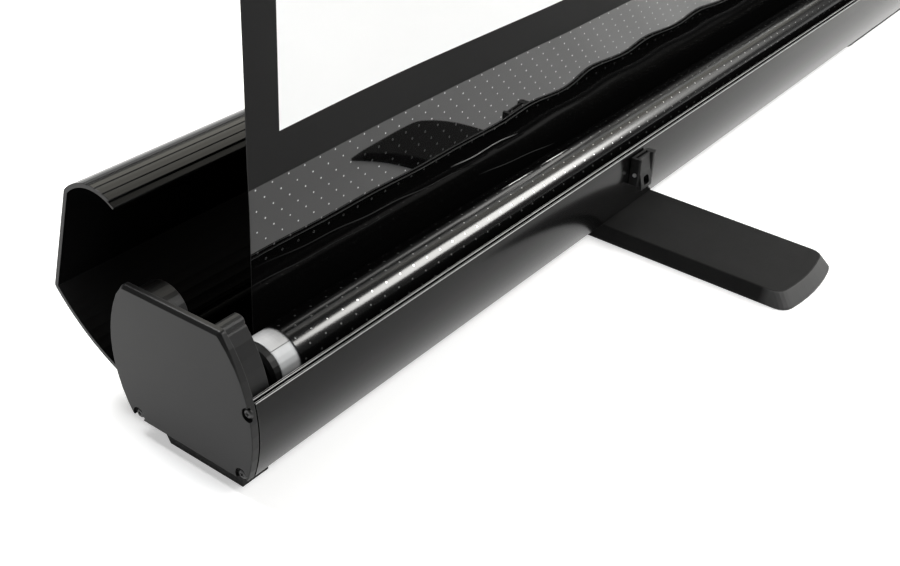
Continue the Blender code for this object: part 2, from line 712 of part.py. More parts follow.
def make_end_cap(name, side):
    """One end cap: a bevelled plate, a neck, a spigot, two lugs, the roller's boss and screw notches."""
    neck_end = CASE_END - CAP_PLATE - CAP_NECK
    cap = piece(name, cap_plate(name, side), BLACK_PLASTIC, (side * CASE_END, 0, 0), ALONG_X)

    def add(mesh, inner, outer):
        middle = side * (inner + outer) / 2
        shape_with(cap, mesh, (middle, 0, 0), ALONG_X, "UNION")

    inner = neck_end
    outer = CASE_END - CAP_PLATE + BITE
    add(prism("neck", [cap_outline(CAP_NECK_INSET)], outer - inner), inner, outer)
    inner = neck_end - SPIGOT_DEPTH
    outer = neck_end + BITE
    add(prism("spigot", [spigot_outline()], outer - inner), inner, outer)
    inner = neck_end - LUG_DEPTH
    for outline in lug_outlines():
        add(prism("lug", [outline], outer - inner), inner, outer)

    boss = cylinder("boss", BOSS_RADIUS, BOSS_LENGTH + BITE, ROUND_STEPS)
    boss_x = side * (neck_end + BITE - (BOSS_LENGTH + BITE) / 2)
    shape_with(cap, boss, (boss_x, ROLLER_Y, ROLLER_Z), ALONG_X, "UNION")
    seat = cylinder("axle_seat", AXLE_RADIUS + RUN, 2 * (AXLE_SEAT + FIT))
    shape_with(cap, seat, (side * (neck_end - BOSS_LENGTH), ROLLER_Y, ROLLER_Z), ALONG_X)

    front_z = CASE_BOTTOM + FRONT_NOTCH_HEIGHT
    corner_z = CASE_BOTTOM + CORNER_NOTCH_HEIGHT
    spots = ((front_y(front_z) + NOTCH_INSET, front_z), (FRONT_NOTCH_Y, corner_z), (REAR_NOTCH_Y, corner_z))
    for y, z in spots:
        notch = cylinder("screw_notch", NOTCH_RADIUS, 2 * NOTCH_DEPTH)
        shape_with(cap, notch, (side * CASE_END, y, z), ALONG_X)


def make_pad(name, side):
    """A pad under one end of the case, as high as the feet."""
    top = CASE_BOTTOM - FIT
    outline = [(PAD_FRONT, 0), (PAD_REAR, 0), (PAD_REAR + PAD_SLOPE, top), (PAD_FRONT, top)]
    mesh = prism(name, [outline], PAD_WIDTH)
    piece(name, mesh, RUBBER, (side * (CASE_END - PAD_INSET - PAD_WIDTH / 2), 0, 0), ALONG_X, smooth=False)


def winding_outline():
    """Profile of the cloth left on the roller: one sheet wound outwards to where the cloth leaves it."""
    count = round(WOUND_TURNS * WOUND_POINTS)
    inner, outer = [], []
    for i in range(count + 1):
        turns = i / WOUND_POINTS
        radius = WOUND_BORE + WOUND_PITCH * turns
        angle = -2 * math.pi * (WOUND_TURNS - turns)
        inner.append((radius * math.cos(angle), radius * math.sin(angle)))
        outer.append(((radius + WOUND_SHEET) * math.cos(angle), (radius + WOUND_SHEET) * math.sin(angle)))
    gaps = []
    for i, point in enumerate(outer):
        gaps += [math.dist(point, other) for other in inner[i + WOUND_POINTS // 2:]]
    print(f"least gap between turns of wound_cloth: {min(gaps) / MM:.2f} mm")
    return outer + inner[::-1]


def make_roller():
    """The roller's tube, the leader wound on it, its hubs and axles and the spring cartridge."""
    centre = (0, ROLLER_Y, ROLLER_Z)
    ring = [(TUBE_RADIUS, TUBE_END), (TUBE_RADIUS, -TUBE_END), (TUBE_BORE, -TUBE_END), (TUBE_BORE, TUBE_END)]
    turned("roller_tube", ring, BARE_METAL, centre, closed=True)
    piece("wound_cloth", prism("wound_cloth", [winding_outline()], CLOTH_WIDTH), GLOSS_FILM, centre, ALONG_X)

    bore = AXLE_RADIUS + RUN
    plug = TUBE_BORE - RUN
    axle_start = CASE_END - CAP_PLATE - CAP_NECK - BOSS_LENGTH + AXLE_SEAT
    hub_end = TUBE_END - HUB_SPIGOT
    for name, side in (("left", -1), ("right", 1)):
        flip = ALONG_X if side > 0 else (ALONG_X[0], ALONG_X[1], -ALONG_X[2])
        hub = [
            (TUBE_RADIUS - HUB_CHAMFER, TUBE_END + HUB_FLANGE),
            (TUBE_RADIUS, TUBE_END + HUB_FLANGE - HUB_CHAMFER),
            (TUBE_RADIUS, TUBE_END + FIT),
            (plug, TUBE_END + FIT),
            (plug, hub_end),
            (bore, hub_end),
            (bore, TUBE_END + HUB_FLANGE),
        ]
        turned(f"roller_hub_{name}", hub, BLACK_PLASTIC, centre, flip, closed=True)
        axle_end = hub_end - FIT if side < 0 else hub_end - FIT - CARTRIDGE_LENGTH
        axle = cylinder(f"roller_axle_{name}", AXLE_RADIUS, axle_start - axle_end)
        place = (side * (axle_start + axle_end) / 2, ROLLER_Y, ROLLER_Z)
        piece(f"roller_axle_{name}", axle, DARK_STEEL, place, ALONG_X)

    head = hub_end - FIT
    tail = head - CARTRIDGE_LENGTH
    cartridge = [
        (plug - CARTRIDGE_SHOULDER / 4, head),
        (plug, head - CARTRIDGE_SHOULDER),
        (plug, tail + CARTRIDGE_SHOULDER),
        (plug - CARTRIDGE_SHOULDER / 4, tail),
        (bore, tail),
        (bore, head),
    ]
    turned("spring_cartridge", cartridge, DARK_STEEL, centre, closed=True)


def make_cloth():
    """The drawn-up cloth, with the slow ripples of its leader."""
    base = ROLLER_Z
    height = CLOTH_TOP - FIT - base
    bm = bmesh.new()
    bmesh.ops.create_grid(bm, x_segments=CLOTH_COLUMNS, y_segments=CLOTH_ROWS, size=0.5)
    for vert in bm.verts:
        across, up = vert.co.x, vert.co.y + 0.5
        x = across * CLOTH_WIDTH
        rise = height * up ** CLOTH_ROW_POWER
        swell = rise / RIPPLE_RISE * math.exp(1 - rise / RIPPLE_RISE)
        wave = math.sin(2 * math.pi * x / RIPPLE_LENGTH + RIPPLE_SLANT * rise + RIPPLE_PHASE)
        vert.co = (x, RIPPLE * swell ** 2 * wave, rise)
    mesh = bpy.data.meshes.new("screen_cloth")
    bm.to_mesh(mesh)
    bm.free()
    cloth = piece("screen_cloth", mesh, WHITE_CLOTH, (0, CLOTH_Y, base), smooth=False)
    skin = cloth.modifiers.new("thickness", "SOLIDIFY")
    skin.thickness = CLOTH_THICK
    skin.offset = 0


def make_batten():
    """The slotted batten, its end caps and the hanger that rests on the mast's head."""
    w = BATTEN_DEPTH / 2
    slot = CLOTH_THICK / 2 + FIT
    floor = BATTEN_SLOT + FIT
    outline = [
        (slot, 0),
        (w, 0),
        (w, BATTEN_HEIGHT),
        (-w, BATTEN_HEIGHT),
        (-w, 0),
        (-slot, 0),
        (-slot, floor),
        (slot, floor),
    ]
    outline = rounded(outline, (2, 3), 2 * BATTEN_WALL)
    chamber_height = BATTEN_HEIGHT - floor - 2 * BATTEN_WALL
    chamber_width = BATTEN_DEPTH - 2 * BATTEN_WALL
    chamber_z = floor + BATTEN_WALL + chamber_height / 2
    chamber = [(y, z + chamber_z) for y, z in box_outline(chamber_width, chamber_height, BATTEN_WALL, 2)]
    place = (0, CLOTH_Y, BATTEN_BASE_Z)
    piece("top_batten", prism("top_batten", [outline, chamber], BATTEN_LENGTH), BLACK_METAL, place, ALONG_X)
    for name, side in (("left", -1), ("right", 1)):
        outer = box_outline(BATTEN_DEPTH, BATTEN_HEIGHT, 2 * BATTEN_WALL)
        outer = [(y, z + BATTEN_HEIGHT / 2) for y, z in outer]
        label = f"batten_end_{name}"
        cap_x = side * (BATTEN_LENGTH / 2 + FIT + BATTEN_CAP / 2)
        cap = piece(label, prism(label, [outer], BATTEN_CAP), BLACK_PLASTIC, (cap_x, *place[1:]), ALONG_X)
        plug = box_outline(chamber_width - 2 * FIT, chamber_height - 2 * FIT, BATTEN_WALL, 2)
        plug_length = BATTEN_PLUG + BITE
        plug_x = side * (BATTEN_LENGTH / 2 + FIT + BITE - plug_length / 2)
        mesh = prism("plug", [plug], plug_length)
        shape_with(cap, mesh, (plug_x, CLOTH_Y, BATTEN_BASE_Z + chamber_z), ALONG_X, "UNION")

    front = BATTEN_BACK_Y + FIT
    rear = MAST_Y + MAST_SIZE / 2 + FIT
    inside = HANGER_TOP - HANGER_WALL
    outline = [
        (front, BATTEN_BASE_Z),
        (front + HANGER_WALL, BATTEN_BASE_Z),
        (front + HANGER_WALL, inside),
        (rear, inside),
        (rear, inside - HANGER_LIP),
        (rear + HANGER_WALL, inside - HANGER_LIP),
        (rear + HANGER_WALL, HANGER_TOP),
        (front, HANGER_TOP),
    ]
    outline = rounded(outline, (6,), HANGER_WALL - FIT)
    piece("batten_hanger", prism("batten_hanger", [outline], HANGER_LENGTH), DARK_STEEL, (0, 0, 0), ALONG_X)


def foot_mesh(name):
    """A foot lying along X: a bar with bowed ends, a short upright edge and sloping sides."""
    half_x, half_y = FOOT_LENGTH / 2, FOOT_WIDTH / 2
    shoulder = half_x - FOOT_BOW
    bow = circle_through((shoulder, -half_y), (half_x, 0), (shoulder, half_y))
    spread = math.asin(half_y / bow[2])
    end = arc(bow[:2], bow[2], -spread, spread, 8)
    corners = [*end, *[(-x, -y) for x, y in end]]
    outline = rounded(corners, (0, len(end) - 1, len(end), 2 * len(end) - 1), FOOT_CORNER, 4)
    bm = bmesh.new()
    base = bm.faces.new([bm.verts.new((x, y, 0)) for x, y in outline])
    shrink = ((half_x - FOOT_END_DRAFT) / half_x, (half_y - FOOT_SIDE_DRAFT) / half_y, 1)
    for rise, scale in ((FOOT_EDGE, (1, 1, 1)), (FOOT_HEIGHT - FOOT_EDGE, shrink)):
        grown = bmesh.ops.extrude_face_region(bm, geom=[base])["geom"]
        if rise != FOOT_EDGE:
            bmesh.ops.delete(bm, geom=[base], context="FACES_ONLY")
        base = next(g for g in grown if isinstance(g, bmesh.types.BMFace))
        bmesh.ops.translate(bm, vec=(0, 0, rise), verts=base.verts)
        bmesh.ops.scale(bm, vec=scale, verts=base.verts)
    bmesh.ops.recalc_face_normals(bm, faces=bm.faces)
    mesh = bpy.data.meshes.new(name)
    bm.to_mesh(mesh)
    bm.free()
    return bevel_face(mesh, 2, 1, FOOT_ROUND, 2)


def make_foot(name, side, turn):
    """One swivelling foot on its rivet."""
    axis = empty(f"foot_axis_{name}", (side * FOOT_X, 0, 0), (0, 0, turn))
    label = f"foot_{name}"
    foot = piece(label, foot_mesh(label), BLACK_PLASTIC, parent=axis)
    shape_with(foot, cylinder("bore", PIVOT_RADIUS + RUN, 4 * FOOT_HEIGHT), (0, 0, 0), parent=axis)
    recess = PIVOT_RECESS + PIVOT_HEAD + FIT
    shape_with(foot, cylinder("recess", PIVOT_HEAD_RADIUS + FIT, 2 * recess), (0, 0, 0), parent=axis)
    span = FOOT_LENGTH / 2 - POCKET_START - POCKET_END
    length = (span - (POCKETS - 1) * POCKET_RIB) / POCKETS
    outline = box_outline(length, FOOT_WIDTH - 2 * POCKET_SIDE, 2 * POCKET_RIB)
    for i in range(POCKETS):
        middle = POCKET_START + length / 2 + i * (length + POCKET_RIB)
        for way in (-1, 1):
            pocket = prism("pocket", [outline], 2 * (FOOT_HEIGHT - POCKET_ROOF))
            shape_with(foot, pocket, (way * middle, 0, 0), parent=axis)
    top = CASE_BOTTOM + WALL + FIT
    rivet = [
        (0, top + PIVOT_HEAD),
        (PIVOT_HEAD_RADIUS, top + PIVOT_HEAD),
        (PIVOT_HEAD_RADIUS, top),
        (PIVOT_RADIUS, top),
        (PIVOT_RADIUS, PIVOT_RECESS + PIVOT_HEAD),
        (PIVOT_HEAD_RADIUS, PIVOT_RECESS + PIVOT_HEAD),
        (PIVOT_HEAD_RADIUS, PIVOT_RECESS),
        (0, PIVOT_RECESS),
    ]
    turned(f"foot_pivot_{name}", rivet, DARK_STEEL, (side * FOOT_X, 0, 0), (0, 0, 0), PIN_STEPS)


def make_latch(name, side):
    """A latch on the front wall: a housing with two ears, a pin and a looped lever."""
    x = side * LATCH_X
    slot = LATCH_SLOT / 2
    left = -slot - LATCH_LEFT_EAR
    right = slot + LATCH_RIGHT_EAR
    plan = [
        (left, 0),
        (right, 0),
        (right, -LATCH_DEPTH),
        (slot, -LATCH_DEPTH),
        (slot, -LATCH_BACK),
        (-slot, -LATCH_BACK),
        (-slot, -LATCH_DEPTH),
        (left, -LATCH_DEPTH),
    ]
    plan = rounded(plan, (2, 3, 6, 7), LATCH_ROUND, 2)
    label = f"latch_housing_{name}"
    middle = (x, LATCH_BACK_Y, LATCH_TOP - LATCH_HEIGHT / 2)
    housing = piece(label, prism(label, [plan], LATCH_HEIGHT), BLACK_PLASTIC, middle)
    pin_left = left - LATCH_PIN_SHOWS
    pin_right = slot + LATCH_PIN_SEAT
    pin_length = pin_right - pin_left
    pin_place = (x + (pin_left + pin_right) / 2, LATCH_PIN_Y, LATCH_PIN_Z)
    hole = cylinder("pin_hole", LATCH_PIN_RADIUS + RUN, pin_length + 2 * FIT, 16)
    shape_with(housing, hole, pin_place, ALONG_X)
    pin = cylinder("pin", LATCH_PIN_RADIUS, pin_length, 16)
    piece(f"latch_pin_{name}", pin, BARE_METAL, pin_place, ALONG_X)

    head = LATCH_PIN_DROP
    knee = LATCH_HEIGHT - LATCH_PIN_DROP
    skin = LEVER_THICK / 2
    profile = [
        (skin, head),
        (-skin, head),
        (-skin - 1.2 * LATCH_PIN_RADIUS, 0),
        (-skin - LEVER_KICK, -knee),
        (-skin - LEVER_KICK, -LEVER_REACH),
        (skin - LEVER_KICK, -LEVER_REACH),
        (skin - LEVER_KICK / 2, -knee),
        (skin + 0.6 * LATCH_PIN_RADIUS, 0),
    ]
    profile = rounded(profile, (0, 1, 4, 5), LEVER_THICK / 3, 2)
    label = f"latch_lever_{name}"
    width = LATCH_SLOT - 2 * FIT
    pivot = (x, LATCH_PIN_Y, LATCH_PIN_Z)
    lever = piece(label, prism(label, [profile], width), BLACK_PLASTIC, pivot, ALONG_X)
    shape_with(lever, hole, pin_place, ALONG_X)
    window_top = -1.8 * LATCH_PIN_RADIUS
    window_base = LEVER_BAR - LEVER_REACH
    opening = box_outline(width - 2 * LEVER_LEG, window_top - window_base, LEVER_LEG / 2)
    window = prism("loop", [opening], 4 * LATCH_DEPTH)
    window_z = LATCH_PIN_Z + (window_top + window_base) / 2
    shape_with(lever, window, (x, LATCH_PIN_Y, window_z), ALONG_Y)


def make_mast():
    """The mast: its bracket and pin, the eye that it folds on, two tubes, a head and the clamp."""
    floor = CASE_BOTTOM + WALL + FIT
    gap = MAST_SIZE / 2 + 2 * FIT
    wide = 2 * (gap + BRACKET_PLATE)
    plate = block("mast_bracket", (BRACKET_LENGTH, wide, BRACKET_PLATE))
    bracket = piece("mast_bracket", plate, DARK_STEEL, (0, MAST_Y, floor + BRACKET_PLATE / 2))
    radius = BRACKET_CHEEK / 2
    cheek_base = floor + BRACKET_PLATE - BITE - MAST_PIVOT_Z
    cheek = [(-radius, cheek_base), (radius, cheek_base), *arc((0, 0), radius, 0, math.pi, 12)]
    hole = cylinder("pin_hole", MAST_PIN_RADIUS + RUN, 2 * wide)
    pin_place = (0, MAST_Y, MAST_PIVOT_Z)
    for side in (-1, 1):
        place = (0, MAST_Y + side * (gap + BRACKET_PLATE / 2), MAST_PIVOT_Z)
        shape_with(bracket, prism("cheek", [cheek], BRACKET_PLATE), place, ALONG_Y, "UNION")
    shape_with(bracket, hole, pin_place, ALONG_Y)
    piece("mast_pin", cylinder("mast_pin", MAST_PIN_RADIUS, wide), DARK_STEEL, pin_place, ALONG_Y)

    axis = empty("mast_fold_axis", pin_place)
    neck = MAST_EYE_NECK - FIT
    eye = [*arc((0, 0), MAST_EYE, math.pi, 2 * math.pi, 14), (MAST_EYE, neck), (-MAST_EYE, neck)]
    mesh = prism("mast_foot", [eye], MAST_SIZE)
    foot = piece("mast_foot", mesh, BLACK_PLASTIC, rotation=ALONG_Y, parent=axis)
    plug_size = MAST_BORE - 2 * FIT
    plug_length = MAST_PLUG + BITE
    plug = prism("plug", [box_outline(plug_size, plug_size, MAST_CORNER - MAST_WALL)], plug_length)
    plug_z = MAST_EYE_NECK - FIT - BITE + plug_length / 2
    shape_with(foot, plug, (0, 0, plug_z), (0, 0, 0), "UNION", axis)
    shape_with(foot, hole, (0, 0, 0), ALONG_Y, "DIFFERENCE", axis)

    outside = box_outline(MAST_SIZE, MAST_SIZE, MAST_CORNER)
    tube = [outside, box_outline(MAST_BORE, MAST_BORE, MAST_CORNER - MAST_WALL)]
    middle = (0, 0, MAST_EYE_NECK + MAST_OUTER_LENGTH / 2)
    piece("mast_outer", prism("mast_outer", tube, MAST_OUTER_LENGTH), BARE_METAL, middle, parent=axis)

    inner_bore = MAST_INNER_SIZE - 2 * MAST_INNER_WALL
    inner_corner = MAST_CORNER - MAST_WALL - FIT
    bore_corner = inner_corner - MAST_INNER_WALL / 2
    outside = box_outline(MAST_INNER_SIZE, MAST_INNER_SIZE, inner_corner)
    tube = [outside, box_outline(inner_bore, inner_bore, bore_corner)]
    inner_length = INNER_TOP_Z - INNER_BASE_Z
    middle = (0, 0, INNER_BASE_Z + inner_length / 2 - MAST_PIVOT_Z)
    piece("mast_inner", prism("mast_inner", tube, inner_length), BARE_METAL, middle, parent=axis)

    cap = prism("mast_head", [outside], HEAD_HEIGHT - FIT)
    head_z = HEAD_TOP - (HEAD_HEIGHT - FIT) / 2 - MAST_PIVOT_Z
    head = piece("mast_head", cap, BLACK_PLASTIC, (0, 0, head_z), parent=axis)
    plug_size = inner_bore - 2 * FIT
    plug = prism("plug", [box_outline(plug_size, plug_size, bore_corner)], HEAD_PLUG + BITE)
    plug_z = INNER_TOP_Z + FIT + BITE - (HEAD_PLUG + BITE) / 2 - MAST_PIVOT_Z
    shape_with(head, plug, (0, 0, plug_z), (0, 0, 0), "UNION", axis)
    make_clamp(axis)


def make_clamp(axis):
    """The collar on the outer tube's end and the lobed knob that tightens it."""
    hold = MAST_SIZE + 2 * FIT
    outside = hold + 2 * COLLAR_WALL
    top = MAST_TOP_Z - MAST_PIVOT_Z + FIT
    bore = MAST_INNER_SIZE + 2 * FIT
    tall = COLLAR_HEIGHT + COLLAR_TOP
    skin = box_outline(outside, outside, MAST_CORNER + COLLAR_WALL)
    loops = [skin, box_outline(bore, bore, MAST_CORNER - MAST_WALL)]
    middle = (0, 0, top + COLLAR_TOP - tall / 2)
    collar = piece("mast_collar", prism("mast_collar", loops, tall), BLACK_PLASTIC, middle, parent=axis)
    seat = prism("collar_seat", [box_outline(hold, hold, MAST_CORNER + FIT)], 2 * COLLAR_HEIGHT)
    shape_with(collar, seat, (0, 0, top - COLLAR_HEIGHT), parent=axis)
    knob_z = top - COLLAR_HEIGHT / 2
    boss_x = -outside / 2 + BITE - (COLLAR_BOSS + BITE) / 2
    boss = cylinder("collar_boss", COLLAR_BOSS_RADIUS, COLLAR_BOSS + BITE)
    shape_with(collar, boss, (boss_x, 0, knob_z), ALONG_X, "UNION", axis)
    thread = cylinder("thread", KNOB_SCREW + RUN, 4 * COLLAR_BOSS)
    shape_with(collar, thread, (boss_x, 0, knob_z), ALONG_X, "DIFFERENCE", axis)

    spin = empty("mast_knob_axis", (0, 0, knob_z), parent=axis)
    lobed = []
    for i in range(KNOB_POINTS):
        angle = 2 * math.pi * i / KNOB_POINTS
        radius = KNOB_RADIUS + KNOB_LOBE * math.cos(KNOB_LOBES * angle)
        lobed.append((radius * math.cos(angle), radius * math.sin(angle)))
    mesh = bevel_face(prism("mast_knob", [lobed], KNOB_THICK), 2, -1, KNOB_LOBE, 2)
    knob_base = outside / 2 + COLLAR_BOSS + FIT
    knob = piece("mast_knob", mesh, BLACK_PLASTIC, (-knob_base - KNOB_THICK / 2, 0, 0), ALONG_X, spin)
    reach = knob_base - MAST_SIZE / 2 - FIT + BITE
    screw = cylinder("screw", KNOB_SCREW, reach)
    shape_with(knob, screw, (reach / 2 - knob_base - BITE, 0, 0), ALONG_X, "UNION", spin)


def main():
    """Make every part of the screen."""
    make_trough()
    make_lid()
    for name, side in (("left", -1), ("right", 1)):
        make_end_cap(f"end_cap_{name}", side)
        make_pad(f"end_pad_{name}", side)
        make_latch(name, side)
    make_foot("left", -1, math.radians(90))
    make_foot("right", 1, 0)
    make_roller()
    make_cloth()
    make_batten()
    make_mast()


main()
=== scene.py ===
"""Looks of a portable projection screen.

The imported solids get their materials. A rippled cloth and a wound film take the places of two plain solids.
Screws, floor, lamps and camera are added.
"""

import math

import bmesh
import bpy
from mathutils import Matrix, Vector


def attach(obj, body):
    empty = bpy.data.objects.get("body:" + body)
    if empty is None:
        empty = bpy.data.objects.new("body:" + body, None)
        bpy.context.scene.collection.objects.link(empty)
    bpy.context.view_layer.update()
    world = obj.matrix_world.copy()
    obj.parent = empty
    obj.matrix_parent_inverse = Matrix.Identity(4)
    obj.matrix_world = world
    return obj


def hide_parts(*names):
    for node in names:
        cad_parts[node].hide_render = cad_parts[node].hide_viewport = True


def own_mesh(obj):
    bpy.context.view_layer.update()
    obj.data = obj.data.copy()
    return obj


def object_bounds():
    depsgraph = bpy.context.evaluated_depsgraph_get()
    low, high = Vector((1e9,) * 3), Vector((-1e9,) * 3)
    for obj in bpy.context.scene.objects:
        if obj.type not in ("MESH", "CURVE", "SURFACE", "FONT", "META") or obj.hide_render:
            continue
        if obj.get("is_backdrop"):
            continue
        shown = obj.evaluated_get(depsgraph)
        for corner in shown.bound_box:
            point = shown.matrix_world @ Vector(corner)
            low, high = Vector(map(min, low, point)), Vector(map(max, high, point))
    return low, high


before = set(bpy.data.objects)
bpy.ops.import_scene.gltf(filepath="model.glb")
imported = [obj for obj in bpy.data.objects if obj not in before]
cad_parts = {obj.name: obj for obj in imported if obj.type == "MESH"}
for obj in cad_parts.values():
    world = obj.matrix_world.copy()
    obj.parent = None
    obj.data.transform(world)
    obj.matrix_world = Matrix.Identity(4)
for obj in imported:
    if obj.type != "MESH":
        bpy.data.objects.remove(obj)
cad_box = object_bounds()

MM = 0.001

# The camera that the photograph was taken with, in the object's frame.
CAMERA_PLACE = Vector((-1.3269, -0.5139, 0.570))
CAMERA_LENS = 50.2
CAMERA_SENSOR = 36
CAMERA_YAW = math.radians(35.1)
CAMERA_PITCH = math.radians(32.6)
CAMERA_ROLL = math.radians(-3.34)

# The cloth's place and its printed fields.
CLOTH_Y = -0.425 * MM
CLOTH_THICK = 0.5 * MM
CLOTH_HALF = 827.5 * MM
CLOTH_BASE = 61.0 * MM
CLOTH_TOP = 1138.3 * MM
LEADER_LOW = 122.0 * MM
LEADER_TOP = 180.6 * MM
IMAGE_BASE = 212.3 * MM
IMAGE_TOP = 1108.1 * MM
IMAGE_HALF = 797.0 * MM

# The fields of the cloth, in the order of its materials. The low leader has creases but no dots.
IMAGE, BORDER, LEADER, BACKING, CUT_EDGE, LOW_LEADER = range(6)

# The steps of the cloth's mesh, with taller rows above the image's base.
COLUMN_STEP = 6 * MM
ROW_STEP = 5 * MM
TALL_ROW_STEP = 30 * MM

# Slow ripples of the whole cloth, strongest at a certain rise above its base.
RIPPLE = 1.53 * MM
RIPPLE_LENGTH = 430 * MM
RIPPLE_RISE = 190 * MM
RIPPLE_SLANT = 9.95
RIPPLE_PHASE = -3.382

# Finer ripples of the leader, each with its height, length, slant and phase, and weaker near the left end.
FINE_RIPPLES = (
    (0.330 * MM, 103.9 * MM, 99.5, 0.998),
    (-0.076 * MM, 172.6 * MM, 0.0, -2.064),
)
FINE_RISE = 75 * MM
FINE_START = -558.3 * MM
FINE_SPAN = 120 * MM
FINE_LEAST = 0.12

# A slack bulge near the left end, with its place and size along X and Z and the start and reach of its fade.
BULGE = 3.157 * MM
BULGE_PLACE = (-718.3 * MM, 181.6 * MM)
BULGE_SIZE = (126.2 * MM, 24.9 * MM)
BULGE_FADE = (185 * MM, 150 * MM)

# The slight lean of the leader round a height, from its start above the cloth's base.
LEAN = -0.0096
LEAN_HEIGHT = 120 * MM
LEAN_START = 40 * MM
LEAN_FADE = 300 * MM

# The winding left on the roller, and where its print lies on it.
ROLLER_PLACE = (-24 * MM, 61 * MM)
WINDING_BORE = 21.6 * MM
WINDING_PITCH = 0.75 * MM
WINDING_SHEET = 0.3 * MM
WINDING_TURNS = 1.5
WINDING_POINTS = 96
WINDING_COLUMNS = 48
WINDING_SHIFT = (-5.8 * MM, 4.09 * MM)
WINDING_SKEW = -0.0133

# The screws in the end caps: their seats, and the angles that they are turned by.
CAP_FACE = 896 * MM
NOTCH_DEPTH = 2.6 * MM
SCREW_SPOTS = ((-61.6 * MM, 71.6 * MM), (-54 * MM, 17.6 * MM), (44 * MM, 17.6 * MM))
SCREW_TURN = 0.35
SCREW_TURN_STEP = 0.8
SCREW_TURN_SIDE = 0.2

# A screw's head, with its outline in shares of radius and height, and the taper of its cross recess.
SCREW_RADIUS = 3.6 * MM
SCREW_HEIGHT = 2.0 * MM
SCREW_STEPS = 28
SCREW_WELD = 0.001 * MM
SCREW_PROFILE = (
    (0.55, -0.6), (0.55, 0.0), (1.0, 0.0), (1.0, 0.35),
    (0.93, 0.62), (0.75, 0.86), (0.5, 0.97), (0.0, 1.0),
)
CROSS_REACH = 1.15 * SCREW_RADIUS
CROSS_WIDTH = 0.3 * SCREW_RADIUS
CROSS_TALL = 1.1
CROSS_TAPER = 0.62

# The floor and the backdrop round it, which glow more and more from the fade's start to its end.
FLOOR_RADIUS = 30.0
FLOOR_SIDES = 96
FLOOR_DROP = 0.2 * MM
FLOOR_LEVEL = 232
FLOOR_ROUGHNESS = 0.9
FLOOR_FADE = (1.7, 3.8)
FLOOR_LIFT = (0.45, 0.94)
BACKDROP_HEIGHT = 6.0

# The room's own light, and the lamps with their place, aim, size, power and tint.
WORLD_LIGHT = 0.12
WHITE = (1.0, 1.0, 1.0, 1.0)
PLAIN = (1.0, 1.0, 1.0)
WARM = (1.0, 0.99, 0.96)
WARMER = (1.0, 0.97, 0.86)
LAMPS = (
    ("key", (1.5, -1.25, 1.75), (1.5, 0.0, 0.08), (1.0, 1.8), 74, WARM),
    ("key_halo", (2.6, -1.2, 1.75), (2.6, 0.0, 0.08), (1.3, 2.0), 14, WARM),
    ("end_panel", (2.3, 0.0, 2.15), (0.4, 0.0, 0.1), (1.8, 1.5), 7, WARMER),
    ("near_fill", (0.2, -2.8, 2.4), (-0.3, 0.0, 0.3), (2.4, 2.0), 56, PLAIN),
    ("top_rear", (-0.76, 0.95, 1.85), (-0.9, 0.0, 0.12), (0.8, 0.8), 50, PLAIN),
    ("rear_panel", (1.0, 1.25, 2.3), (-0.75, 0.1, 0.2), (2.9, 2.9), 43, WARMER),
)

# Parts of a texture's range that a change of tone or gloss is spread over.
MIDDLE = (0.3, 0.7)
WIDE = (0.25, 0.75)
FULL = (0.0, 1.0)

# How much detail a noise has, and how often the edge shaders sample.
LINE_DETAIL = 2.0
GRAIN_DETAIL = 3.0
CLOUD_DETAIL = 4.0
EDGE_SAMPLES = 6
SOFT_SAMPLES = 8


def linear(level):
    """A level from 0 to 255 of a picture as the shader's own scale, by the curve of common screens."""
    part = level / 255
    return part / 12.92 if part <= 0.04045 else ((part + 0.055) / 1.055) ** 2.4


def grey(level, warm=0.0):
    """A grey of that level, a little warm above zero and a little cold below."""
    value = linear(level)
    return (value * (1 + warm), value, value * (1 - warm), 1.0)


def spread(middle, parts):
    """The two ends of a span round a middle value."""
    return [middle + part for part in parts]


